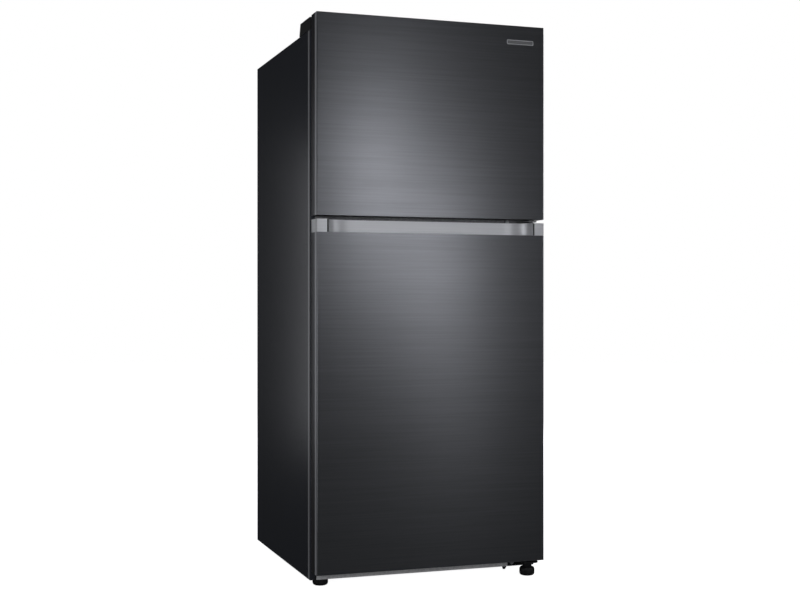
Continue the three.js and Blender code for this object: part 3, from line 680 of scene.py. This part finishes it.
def cabinet_wrap():
    """Sheet bent over the top and down both sides, its front edge rolled into a flat return."""
    low, high = span("cabinet_wrap")
    bend, corner, steps = 4.5, 3.0, 6
    angles = [QUARTER * i / steps for i in range(steps + 1)]

    def rolled(radius, inset_by):
        return [
            (inset_by + radius * (1 - math.cos(t)), low.y + inset_by + radius * (1 - math.sin(t)))
            for t in angles
        ]

    outer = [(0.0, high.y), *rolled(bend, 0.0), (RETURN, low.y)]
    inner = [(RETURN, low.y + SHEET), *reversed(rolled(bend - SHEET, SHEET)), (SHEET, high.y)]
    section = outer + inner

    def hoop(side, angle):
        ring = []
        for offset, y in section:
            r = max(corner - offset, 0.3)
            x = high.x - offset - r + r * math.cos(angle)
            z = high.z - offset - r + r * math.sin(angle)
            ring.append((side * x, y, z))
        return ring

    def foot_of(side):
        return [(side * (high.x - offset), y, low.z) for offset, y in section]

    rings = [foot_of(1), *[hoop(1, t) for t in angles]]
    rings += [*[hoop(-1, t) for t in reversed(angles)], foot_of(-1)]
    piece("cabinet_wrap_sheet", loft(bmesh.new(), rings), "cabinet", "side_paint",
          ["cabinet_wrap"], angle=40.0)


def top_cover():
    """Full-width hinge cover with a slot for the hinge arm, a parting groove and screws."""
    low, high = span("top_hinge_cover")
    _, arm_high = span("top_hinge")
    slope = 13.0
    arm_sides = (317.7, 342.3)
    outline = [(low.y, low.z), (high.y, low.z), (high.y - slope, high.z), (low.y, high.z)]
    shell = prism("yz", outline, low.x, high.x)
    arm = block(arm_sides, (low.y - 2, low.y + 20), (arm_high.z - 5.2, arm_high.z + 1.2))
    groove = block((-366, 366), (low.y + 24, low.y + 25), (high.z - 0.8, high.z + 1))
    shell = carve(shell, arm, groove)
    piece("top_cover_shell", shell, "cabinet", "black_plastic", ["top_hinge_cover"], bevel=2.2,
          segments=4, finish="cover_plastic")
    screws = [(x, low.y + 60) for x in (-300, 0, 300)]
    piece("top_cover_screws", screw_heads(bmesh.new(), "z", screws, high.z + 0.3, 1), "cabinet",
          "black_metal")


def back_panel():
    """Plated sheet with upright stiffening beads pressed into it."""
    low, high = span("back_panel")
    rim, bed, deep = 18, 12, high.y - 1.2
    face = [(low.x, high.y)]
    for x in range(-260, 261, 130):
        face += [(x - rim, high.y), (x - bed, deep), (x + bed, deep), (x + rim, high.y)]
    face.append((high.x, high.y))
    inside = [(x, y - SHEET) for x, y in reversed(face)]
    piece("back_panel_sheet", prism("xy", face + inside, low.z, high.z), "cabinet", "galvanised",
          ["back_panel"], angle=10.0)


def rear_cover():
    low, high = span("rear_cover")
    from_cad("rear_cover", 0.5)
    blades = bmesh.new()
    pitch, half, rise = 52, 18, 4.6
    for x in range(-286, 287, pitch):
        for z in (90, 150):
            top = z + rise
            blade = [(low.y + 0.4, z), (low.y + 0.9, z), (high.y - 0.2, top), (high.y - 0.7, top)]
            prism("yz", blade, x - half, x + half, blades)
    piece("rear_cover_louvres", blades, "cabinet", "black_metal")
    places = [(x, z) for x in (-352, 352) for z in (60, 240)] + [(0, 52), (0, 244)]
    screws = screw_heads(bmesh.new(), "y", places, high.y - 0.02, 1, 4.0)
    piece("rear_cover_screws", screws, "cabinet", "galvanised")


def base_rail():
    """Plated front rail: upright face, rolled top edge, flange running back, hemmed foot."""
    low, high = span("base_rail")
    thick, roll = 1.5, 4.0
    outer = [(low.y, low.z)] + [
        (low.y + roll - roll * math.cos(t), high.z - roll + roll * math.sin(t))
        for t in (QUARTER * i / 5 for i in range(6))
    ]
    inner = [
        (low.y + roll - (roll - thick) * math.cos(t), high.z - roll + (roll - thick) * math.sin(t))
        for t in (QUARTER * i / 5 for i in range(5, -1, -1))
    ]
    tail = [(high.y, high.z), (high.y, high.z - thick)]
    hem = [(low.y + thick, low.z)]
    profile = outer + tail + inner + hem
    piece("base_rail_pressing", prism("yz", profile, low.x, high.x), "cabinet", "galvanised",
          ["base_rail"], bevel=0.4, segments=2, finish="bright_zinc")


def hinges_and_feet():
    for node, bevel in (("top_hinge", 0.8), ("bottom_hinge", 0.9), ("foot_bracket_left", 1.0),
                        ("bottom_deck", 0.4)):
        from_cad(node, bevel)
    from_cad("middle_hinge", 0.8, finish="rail_paint")
    from_cad("centre_rail", 0.5, finish="rail_paint")
    _, bottom_high = span("bottom_hinge")
    middle_bolt, bottom_bolt, bolt_size = (270, 1097), (285.5, 34), 5.2
    bolts = bolt_head(middle_bolt, CABINET_FACE - 5.2, bolt_size)
    bolt_head(bottom_bolt, CABINET_FACE - 7.3, bolt_size, bolts)
    piece("hinge_bolts", bolts, "cabinet", "galvanised", bevel=0.3)
    # the small tongue under the bottom hinge's plate
    tab = [(256, 20.4), (257, 14.5), (260, 12), (265, 12.6), (270, 20.4)]
    piece("bottom_hinge_tab", prism("xz", tab, bottom_high.y - 2.0, bottom_high.y + 1.0), "cabinet",
          "black_metal", bevel=0.5)

    def knurl(angle):
        return 0.55 * (math.cos(28 * angle) - 1)

    for node in ("foot_left", "foot_right"):
        low, high = span(node)
        radius = (high.x - low.x) / 2
        stem, thread_start, thread_pitch, thread_depth = 4.9, 28.4, 1.25, 0.55
        stations = [
            (0.0, radius - 6), (0.8, radius - 4.2), (2.4, radius - 2.2), (4.6, radius - 0.9),
            (6.5, radius - 0.3, 1), (8.0, radius, 1), (19.0, radius, 1), (20.5, radius - 0.3, 1),
            (22.0, radius - 0.8), (24.4, radius - 2), (25.8, radius - 4), (26.8, radius - 7),
            (27.0, stem + 4), (27.0, stem),
        ]
        z = thread_start
        while z < high.z - 1.4:
            stations += [(z, stem), (z + 0.5, stem - thread_depth), (z + 1.0, stem)]
            z += thread_pitch
        stations += [(high.z - 0.6, stem), (high.z, stem - 0.8)]
        foot = turned("z", centre_of(node, "xy"), stations, 112, ripple=knurl)
        piece(f"{node}_turned", foot, node, "black_plastic", [node], angle=40.0)


def rollers():
    from_cad("compressor_base", 0.5)
    for node in ("roller_left", "roller_right"):
        low, high = span(node)
        centre = centre_of(node, "yz")
        axle_bore = 4.3
        radius = (high.z - low.z) / 2
        width = high.x - low.x
        edge = [(0.0, radius - 3), (0.5, radius - 1.2), (2.0, radius - 0.2), (4.0, radius)]
        groove = [(width / 2 - 3, radius), (width / 2 - 2, radius - 1.2)]
        half = edge + groove
        stations = [(low.x + a, r) for a, r in half] + [(high.x - a, r) for a, r in reversed(half)]
        wheel = turned("x", centre, stations, 64)
        bore = turned("x", centre, [(low.x - 1, axle_bore), (high.x + 1, axle_bore)], 32)
        piece(f"{node}_wheel", carve(wheel, bore), node, "grey_plastic", [node])


# ---- doors outside
# The upper door's top corner is cut away for the hinge, from this X and this height.
HINGE_CORNER_X, HINGE_CORNER_Z = 303, 1676.3


def door_skin(node):
    """Folded skin: flat front, rounded upright edges, sides, and hems on the back."""
    low, high = span(node)
    rect = (low.x, high.x, low.y, high.y)
    steps = 8
    half_way = 2 * (steps + 1)
    outer = rounded_rect(rect, DOOR_EDGE, steps)
    inner = rounded_rect(inset(rect, SHEET), DOOR_EDGE - SHEET, steps)
    outer = outer[half_way:] + outer[:half_way]
    inner = inner[half_way:] + inner[:half_way]
    hem = high.x - HEM
    path = [(-hem, high.y), *outer, (hem, high.y), (hem, high.y - SHEET)]
    path += [*reversed(inner), (-hem, high.y - SHEET)]
    return prism("xy", path, low.z, high.z)


def door_skins():
    low, high = span("freezer_door_skin")
    notch = block((HINGE_CORNER_X, high.x + 5), (low.y + 1.1, high.y + 5),
                  (HINGE_CORNER_Z, high.z + 5))
    upper = carve(door_skin("freezer_door_skin"), notch)
    piece("freezer_door_sheet", upper, "freezer_door", "black_steel", ["freezer_door_skin"],
          bevel=0.35, segments=2, angle=50.0)
    piece("fridge_door_sheet", door_skin("fridge_door_skin"), "fridge_door", "black_steel",
          ["fridge_door_skin"], bevel=0.35, segments=2, angle=50.0)
    for node in ("freezer_door_top_cap", "freezer_door_bottom_cap", "fridge_door_bottom_cap"):
        from_cad(node, 0.7)


def badge():
    """Plain bar: a raised rim round a darker field."""
    low, high = span("badge")
    rect = (low.x, high.x, low.z, high.z)
    rim = [(0, high.y), (0, low.y + 0.25), (0.3, low.y), (1.5, low.y), (1.8, low.y + 0.3),
           (1.8, high.y)]
    piece("badge_rim", sweep("xz", rect, 3.0, rim, closed=True), "freezer_door", "satin_silver",
          ["badge"])
    field = soft_block((low.x + 1.5, high.x - 1.5), (low.y + 0.3, high.y),
                       (low.z + 1.5, high.z - 1.5), 2.0, plane="xz")
    piece("badge_field", field, "freezer_door", "grey_plastic", ["badge"])


GRIP_HALF, GRIP_SWEEP, GRIP_DEPTH, GRIP_LIP, GRIP_SLOT = 328.0, 85.0, 45.0, 13.0, 5.0
LEDGE_REAR = -330.3
PIN_HOLE = 5.3


def grip_outline(half, front, steps=28):
    """Plan of the finger recess: straight back with elliptical ends, open to the front."""
    points = [(-half, front - 3), (half, front - 3)]
    for end in (1, -1):
        for i in range(steps + 1):
            t = QUARTER * i / steps if end > 0 else QUARTER + QUARTER * i / steps
            x = end * (half - GRIP_SWEEP) + GRIP_SWEEP * math.cos(t)
            points.append((x, front + GRIP_DEPTH * math.sin(t)))
    return points


def handle_band():
    """Silver band with the finger recess, the seams of its end pieces and the ledge inside."""
    low, high = span("handle_cap")
    _, skin_high = span("fridge_door_skin")
    floor = skin_high.z + 0.3
    rect = (low.x, high.x, low.y, high.y)
    pin = joint_place("fridge_door_hinge")[:2]
    slot = GRIP_HALF + GRIP_SLOT / 2
    roof = 6.7

    def pin_hole():
        return turned("z", pin, [(high.z - 22, PIN_HOLE), (high.z + 1, PIN_HOLE)], 32)

    band = prism("xy", rounded_rect(rect, DOOR_EDGE, 8), floor, high.z)
    recess = prism("xy", grip_outline(GRIP_HALF, low.y), floor - 1, high.z + 1)
    rear_room = block((low.x + HEM, high.x - HEM), (LEDGE_REAR, high.y + 1),
                      (low.z - 1, high.z - roof))
    slots = [block((x - 2.5, x + 2.5), (low.y - 1, low.y + 8), (floor - 1, high.z + 1))
             for x in (-slot, slot)]
    band = carve(band, recess, pin_hole(), rear_room, *slots)
    piece("handle_band", band, "fridge_door", "satin_silver", ["handle_cap"], bevel=0.9,
          segments=3, angle=40.0)

    seams = bmesh.new()
    for x in (-slot, slot):
        block((x - 2.2, x + 2.2), (low.y + 2.0, low.y + 7.7), (floor + 0.4, high.z - 0.6), seams)
    piece("handle_seams", seams, "fridge_door", "black_plastic", bevel=0.3)

    inside = 1.3
    core = (low.x + inside, high.x - inside, low.y + inside, LEDGE_REAR)
    ledge = prism("xy", rounded_rect(core, DOOR_EDGE - inside, 8), low.z, floor)
    well = prism("xy", grip_outline(GRIP_HALF - 40, low.y), low.z + 8, floor + 1)
    lip = block((low.x, high.x), (low.y - 4, low.y + GRIP_LIP), (low.z, floor + 2))
    ledge = carve(ledge, carve(well, lip), pin_hole())
    piece("handle_ledge", ledge, "fridge_door", "satin_silver", ["handle_cap"], bevel=0.6,
          segments=2, angle=40.0)


def gaskets():
    """Soft bellows section carried round each doorway."""
    for node in ("freezer_door_gasket", "fridge_door_gasket"):
        low, high = span(node)
        rect = (low.x, high.x, low.z, high.z)
        y0, y1 = low.y, high.y
        section = [
            (0, y0), (0, y0 + 3.6), (1.8, y0 + 5.0), (0, y0 + 6.4), (0, y1 - 1.8), (1.6, y1),
            (12.4, y1), (14, y1 - 1.8), (14, y0 + 6.4), (12.2, y0 + 5.0), (14, y0 + 3.6), (14, y0),
        ]
        piece(f"{node}_bellows", sweep("xz", rect, 9.0, section, closed=True), BODY_OF[node],
              "gasket_rubber", [node])


# ---- doors inside
BIN_WALL = 3.0
HOOK_Y = (-318, -306)

# Each dike's half width, foot and top, and the half width inside it where the bins hang.
FREEZER_DIKE, FREEZER_BIN_ROOM = (296, 1136, 1591), 280.4
FRIDGE_DIKE, FRIDGE_BIN_ROOM = (305, 121, 1058), 289.4


def tub(rect, z0, z1, radius, wall, bm=None):
    """Moulded open box with rounded corners and floor and a rolled rim."""
    outline = [
        (5.0, z0), (1.6, z0 + 0.6), (0.4, z0 + 2.4), (0.0, z0 + 6.0),
        (0.0, z1 - 1.0), (0.5, z1 - 0.2), (1.0, z1),
        (wall - 1.0, z1), (wall - 0.5, z1 - 0.2), (wall, z1 - 1.0),
        (wall, z0 + 7.0), (wall + 0.6, z0 + 4.6), (wall + 2.0, z0 + 3.4), (wall + 5.0, z0 + wall),
    ]
    return sweep("xy", rect, radius, outline, bm=bm)


def door_bins():
    for node in ("freezer_bin_lower", "freezer_bin_upper", "fridge_bin_lower",
                 "fridge_bin_middle", "fridge_bin_upper"):
        low, high = span(node)
        rect = (low.x, high.x, low.y, high.y)
        shell = tub(rect, low.z, high.z, 12.0, BIN_WALL)
        dip = soft_block((low.x + 18, high.x - 18), (high.y - 8, high.y + 4),
                         (high.z - 18, high.z + 24), 12.0, plane="xz")
        piece(f"{node}_moulding", carve(shell, dip), BODY_OF[node], "clear_plastic", [node],
              angle=40.0)


def door_panel(node, dike, notch=None):
    """Formed inner panel with the raised dike that stands in the doorway."""
    low, high = span(node)
    half, z0, z1 = dike
    plate = soft_block((low.x, high.x), (low.y, low.y + 2), (low.z, high.z), 3.0, plane="xz")
    if notch:
        plate = carve(plate, notch)
    front = high.y
    back = low.y + 1
    section = [
        (-1.6, back), (-1.2, back + 1.6), (0.0, back + 3.4), (1.2, front - 4), (2.6, front - 1.2),
        (5.0, front), (11.0, front), (13.4, front - 1.2), (14.8, front - 4), (16.0, back + 3.4),
        (17.2, back + 1.6), (17.6, back),
    ]
    sweep("xz", (-half, half, z0, z1), 20.0, section, closed=True, bm=plate)
    piece(f"{node}_formed", plate, BODY_OF[node], "white_plastic", [node], angle=30.0)


def bin_hooks(nodes, inner, body):
    """The lugs on the inside of the dike that each bin hangs on."""
    lugs = bmesh.new()
    for node in nodes:
        _, high = span(node)
        for side in (-1, 1):
            x = sorted((side * inner, side * (high.x + 0.2)))
            soft_block(x, HOOK_Y, (high.z - 30, high.z - 8), 0.4, lugs, plane="yz")
    piece(f"{body}_bin_hooks", lugs, body, "white_plastic")


def door_insides():
    _, high = span("freezer_door_liner")
    notch = block((HINGE_CORNER_X, 400), (-340, -300), (HINGE_CORNER_Z, high.z + 5))
    door_panel("freezer_door_liner", FREEZER_DIKE, notch)
    door_panel("fridge_door_liner", FRIDGE_DIKE)
    door_bins()
    bin_hooks(("freezer_bin_lower", "freezer_bin_upper"), FREEZER_BIN_ROOM, "freezer_door")
    bin_hooks(("fridge_bin_lower", "fridge_bin_middle", "fridge_bin_upper"), FRIDGE_BIN_ROOM,
              "fridge_door")


# ---- compartments
FREEZER_ROOM = {"half": 305, "floor": 1127, "ceiling": 1600, "rear": 325}
# the lower room's floor climbs over the machine room: step holds (y, floor height)
FRIDGE_ROOM = {"half": 315, "floor": 112, "ceiling": 1067, "rear": 340,
               "step": ((170, 250), (215, 300))}


def cavity(node, half, floor, ceiling, rear, step=()):
    """Vacuum-formed liner: flange, rolled doorway edge, walls, rounded rear corners."""
    low, high = span(node)
    front, wall, radius = low.y, 2.0, 16.0
    flange = (low.x, high.x, low.z, high.z)

    def ring(y, grow, level=floor):
        rect = (-half - grow, half + grow, level - grow, ceiling + grow)
        points = rounded_rect(rect, radius + grow, 6)
        return [(a, y, b) for a, b in points]

    def edge_ring(rect, y):
        return [(a, y, b) for a, b in rounded_rect(rect, 3.0, 6)]

    last = step[-1][1] if step else floor
    inner = [ring(rear, -14, last), ring(rear - 1.2, -4, last), ring(rear - 4, -1.2, last),
             ring(rear - 14, 0, last)]
    inner += [ring(y, 0, level) for y, level in reversed(step)]
    if step:
        inner.append(ring(step[0][0] - 0.01, 0))
    inner += [ring(front + 8, 0), ring(front + 4, 0.5), ring(front + 1.4, 1.8), ring(front, 5)]
    outer = [edge_ring(flange, front), edge_ring(flange, front + wall), ring(front + wall, 5.5)]
    outer += [ring(front + 9, wall)]
    if step:
        outer.append(ring(step[0][0] - wall, wall))
    outer += [ring(y - wall, wall, level) for y, level in step]
    outer += [ring(rear - 12, wall, last), ring(rear + wall, -12, last)]
    shell = loft(bmesh.new(), inner + outer)
    switch, bore = centre_of(node.replace("liner", "switch_plunger"), "xz"), 3.9
    hole = turned("y", switch, [(front - 2, bore), (front + 6, bore)], 24)
    piece(f"{node}_formed", carve(shell, hole), "cabinet", "white_plastic", [node], angle=30.0)


def shelf_guides():
    """Moulded ledges on the side walls under each shelf."""
    ledges = bmesh.new()
    for node, drop in (("freezer_shelf", 7), ("fridge_shelf_upper", 7), ("fridge_shelf_lower", 7),
                       ("crisper_cover", 4)):
        low, high = span(node)
        for side in (-1, 1):
            x = sorted((side * (high.x - 7), side * (high.x + 0.8)))
            rear = 160 if node == "crisper_cover" else high.y - 6
            soft_block(x, (low.y + 6, rear), (low.z - drop, low.z - 0.3), 1.6, ledges)
    piece("shelf_guides", ledges, "cabinet", "white_plastic", bevel=0.8)


def shelf(node):
    """Glass plate in a moulded rim with a thicker front edge."""
    low, high = span(node)
    rect = (low.x, high.x, low.y, high.y)
    z0, z1 = low.z, high.z
    section = [
        (0, z0 + 1.5), (0, z1 - 2.5), (0.8, z1 - 0.8), (2.4, z1), (11.6, z1), (13.2, z1 - 0.8),
        (14, z1 - 2.5), (14, z0 + 5.5), (4, z0 + 4), (3.4, z0), (1.2, z0),
    ]
    rim = sweep("xy", rect, 9.0, section, closed=True)
    soft_block((low.x + 9, high.x - 9), (low.y + 0.3, low.y + 11), (z0, z1 - 0.4), 4.0, rim)
    piece(f"{node}_rim", rim, "cabinet", "white_plastic", [node])
    glass = inset(rect, 12.0)
    plate = prism("xy", rounded_rect(glass, 3.0, 4), z1 - 7, z1 - 3)
    piece(f"{node}_pane", plate, "cabinet", "shelf_glass", [node], bevel=0.8)


def crisper(node):
    low, high = span(node)
    rect = (low.x, high.x, low.y + 12.2, high.y)
    body = tub(rect, low.z, high.z, 10.0, BIN_WALL)
    front = soft_block((low.x, high.x), (low.y, low.y + 12), (low.z, high.z), 8.0, plane="xz")
    grip = soft_block((low.x + 60, high.x - 60), (low.y - 1, low.y + 9),
                      (high.z - 34, high.z - 12), 9.0, plane="xz")
    piece(f"{node}_front", carve(front, grip), node, "clear_plastic", [node], bevel=1.0,
          finish="milky_plastic")
    piece(f"{node}_tub", body, node, "clear_plastic", [node], angle=40.0)


def cold_air():
    """Fan grille trim on the freezer's rear cover, and the air duct behind the lower shelves."""
    low, _ = span("evaporator_cover")
    from_cad("evaporator_cover", 0.8)
    middle = centre_of("evaporator_fan_blade", "xz")[1]
    half = 60
    frame_rect = (-half, half, middle - half, middle + half)
    section = [(0, low.y + 0.5), (0.6, low.y - 1.2), (2, low.y - 1.8), (5, low.y - 1.8),
               (6, low.y - 1.2), (6.6, low.y + 0.5)]
    trim = sweep("xz", frame_rect, 10.0, section, closed=True)
    for x in (-24, 0, 24):
        soft_block((x - 1.5, x + 1.5), (low.y + 0.2, low.y + 3.6), (middle - 50, middle + 50), 0.8,
                   trim)
    piece("evaporator_grille_trim", trim, "cabinet", "white_plastic")

    from_cad("fridge_air_duct", 1.6, 3)
    duct_low, _ = span("fridge_air_duct")
    slats = bmesh.new()
    for z in (420, 660, 900):
        for x in range(-26, 27, 13):
            soft_block((x - 1, x + 1), (duct_low.y + 0.4, duct_low.y + 3.6), (z - 5, z + 5), 0.6,
                       slats)
    piece("air_duct_slats", slats, "cabinet", "white_plastic")
    from_cad("evaporator_fan_motor", 1.0)


def evaporator():
    """Finned coil behind the freezer's rear cover."""
    low, high = span("evaporator")
    y = (low.y + high.y) / 2
    coil = bmesh.new()
    levels = (1180, 1240, 1300)
    tube_end, bend_start = 218, 190
    fin_reach, fin_pitch, fin_half = 200, 8, 0.25
    points = [(-tube_end, y, levels[0])]
    for i, (a, b) in enumerate(zip(levels, levels[1:])):
        side = 1 if i % 2 == 0 else -1
        turn = (b - a) / 2
        start = side * bend_start
        points += [
            (start + side * turn * math.sin(t), y, a + turn - turn * math.cos(t))
            for t in (math.pi * k / 10 for k in range(11))
        ]
    points.append((tube_end, y, levels[2]))
    pipe(points, 5.0, 14, bm=coil)
    for x in range(-fin_reach, fin_reach + 1, fin_pitch):
        block((x - fin_half, x + fin_half), (low.y, high.y), (low.z, high.z), coil)
    piece("evaporator_coil", coil, "cabinet", "aluminium", ["evaporator"])


def control_unit():
    """Ceiling housing with the lamp lens, the dial and its scale marks."""
    low, high = span("control_panel")
    under, knob_face = 1042.0, 1030.0
    mark_circle, mark_count = 26, 9
    housing = soft_block((low.x, high.x), (low.y, high.y), (under, high.z), 14.0)
    piece("control_housing", housing, "cabinet", "white_plastic", ["control_panel"], bevel=3.0)

    centre = centre_of("temperature_dial", "xy")
    spindle = turned("z", centre, [(knob_face, 2.9), (under + 1, 2.9)], 20)
    piece("dial_spindle", spindle, "cabinet", "white_plastic")
    marks = bmesh.new()
    for i in range(mark_count):
        angle = math.radians(-135 + i * 270 / (mark_count - 1))
        x = centre[0] + mark_circle * math.sin(angle)
        y = centre[1] - mark_circle * math.cos(angle)
        size = 1.0 + 0.15 * i
        turned("z", (x, y), [(under - 0.3, size), (under + 0.2, size)], 16, marks)
    piece("dial_marks", marks, "cabinet", "grey_plastic")

    def scallop(angle):
        return 0.4 * (math.cos(20 * angle) - 1)

    knob = turned("z", centre, [
        (knob_face, 15.0), (knob_face + 0.4, 17.0), (knob_face + 1.4, 18.8, 1),
        (knob_face + 3.5, 19.6, 1), (knob_face + 10.0, 20.0, 1), (knob_face + 11.7, 20.0, 1),
    ], 100, ripple=scallop)
    hole = 3.3
    bore = turned("z", centre, [(knob_face - 1, hole), (under + 1, hole)], 24)
    bar_cut = turned("z", centre, [(knob_face - 7, hole), (knob_face + 2, hole)], 24)
    grip = soft_block((centre[0] - 2.4, centre[0] + 2.4), (centre[1] - 18, centre[1] + 18),
                      (knob_face - 6, knob_face + 1), 2.2)
    piece("dial_knob", carve(knob, bore), "temperature_dial", "grey_plastic", ["temperature_dial"])
    piece("dial_grip", carve(grip, bar_cut), "temperature_dial", "grey_plastic",
          ["temperature_dial"], bevel=0.8)

    lens_low, lens_high = span("fridge_lamp_lens")
    lens = soft_block((lens_low.x, lens_high.x), (lens_low.y, lens_high.y),
                      (lens_low.z + 3, lens_high.z), 8.0)
    count = 22
    pitch = (lens_high.x - lens_low.x - 14) / count
    for i in range(count + 1):
        x = lens_low.x + 7 + i * pitch
        pipe([(x, lens_low.y + 6, lens_low.z + 3), (x, lens_high.y - 6, lens_low.z + 3)], 2.7, 10,
             bm=lens)
    piece("lamp_lens_ribbed", lens, "cabinet", "frosted_lens", ["fridge_lamp_lens"], bevel=0.6)


def switch_plungers():
    for node in ("freezer_switch_plunger", "fridge_switch_plunger"):
        low, high = span(node)
        stations = [(low.y, 1.2), (low.y + 0.3, 2.4), (low.y + 1.2, 3.2), (low.y + 2.6, 3.5),
                    (high.y - 0.6, 3.5), (high.y, 3.0)]
        pin = turned("y", centre_of(node, "xz"), stations, 28)
        piece(f"{node}_pin", pin, node, "white_plastic", [node])


# ---- machine room
def fan_wheel(node, axis, blades, hub, slot):
    """Hub with twisted, swept blades."""
    low, high = span(node)
    centre = (low + high) / 2
    along = "xyz".index(axis)
    outer = (high - low)[(along + 1) % 3] / 2
    thick = (high - low)[along]
    wheel = turned("z", (0, 0), [
        (-thick / 2, hub - 1.5), (-thick / 2 + 0.6, hub - 0.4), (-thick / 2 + 2, hub),
        (thick / 2 - 2, hub), (thick / 2 - 0.6, hub - 0.6), (thick / 2, hub - 2),
    ], 48)
    shaft, cuts = 2.8, 7
    wheel = carve(wheel, turned("z", (0, 0), [(-thick, shaft), (thick, shaft)], 24))
    for k in range(blades):
        rings = []
        for i in range(cuts + 1):
            t = i / cuts
            radius = hub - 2 + (outer - 0.5 - hub + 2) * t
            pitch = math.radians(38 - 14 * t)
            chord = 0.5 * outer * (0.75 + 0.55 * math.sin(math.pi * (0.15 + 0.65 * t)))
            chord = min(chord, (thick - 3.0) / math.sin(pitch))
            heading = 2 * math.pi * k / blades + 0.3 * t
            ring = []
            for j in range(12):
                a = 2 * math.pi * j / 12
                u = chord / 2 * math.cos(a)
                v = 0.8 * math.sin(a) * (1.0 - 0.4 * math.cos(a)) + 0.9 * math.sin(a / 2)
                flat = (u * math.cos(pitch) - v * math.sin(pitch))
                lift = (u * math.sin(pitch) + v * math.cos(pitch))
                turn = heading + flat / radius
                ring.append((radius * math.cos(turn), radius * math.sin(turn), lift))
            rings.append(ring)
        loft(wheel, rings)
    turn = {"x": Matrix.Rotation(QUARTER, 4, "Y"), "y": Matrix.Rotation(-QUARTER, 4, "X")}[axis]
    wheel.transform(Matrix.Translation(centre) @ turn)
    piece(f"{node}_wheel", wheel, BODY_OF[node], slot, [node], angle=40.0)


def machine_room():
    for node, bevel in (("compressor", 1.2), ("condenser_coil", 0.3), ("condenser_fan_shroud", 0.8),
                        ("cord_gland", 0.8)):
        from_cad(node, bevel)
    low, high = span("drain_pan")
    tray = tub((low.x, high.x, low.y, high.y), low.z, high.z, 10.0, 2.5)
    piece("drain_pan_moulding", tray, "cabinet", "black_plastic", ["drain_pan"], angle=40.0)


cabinet_wrap()
top_cover()
back_panel()
rear_cover()
base_rail()
hinges_and_feet()
rollers()
door_skins()
badge()
handle_band()
gaskets()
door_insides()
cavity("freezer_liner", **FREEZER_ROOM)
cavity("fridge_liner", **FRIDGE_ROOM)
shelf_guides()
for name in ("freezer_shelf", "fridge_shelf_upper", "fridge_shelf_lower", "crisper_cover"):
    shelf(name)
crisper("crisper_left")
crisper("crisper_right")
cold_air()
evaporator()
control_unit()
switch_plungers()
fan_wheel("evaporator_fan_blade", "y", 5, 14, "white_plastic")
fan_wheel("condenser_fan_blade", "x", 5, 16, "black_plastic")
machine_room()

for name, node in frame["nodes"].items():
    node.data.materials.clear()
    node.data.materials.append(MATERIALS[SLOT_OF[name]])
    smooth_by_angle(node.data)
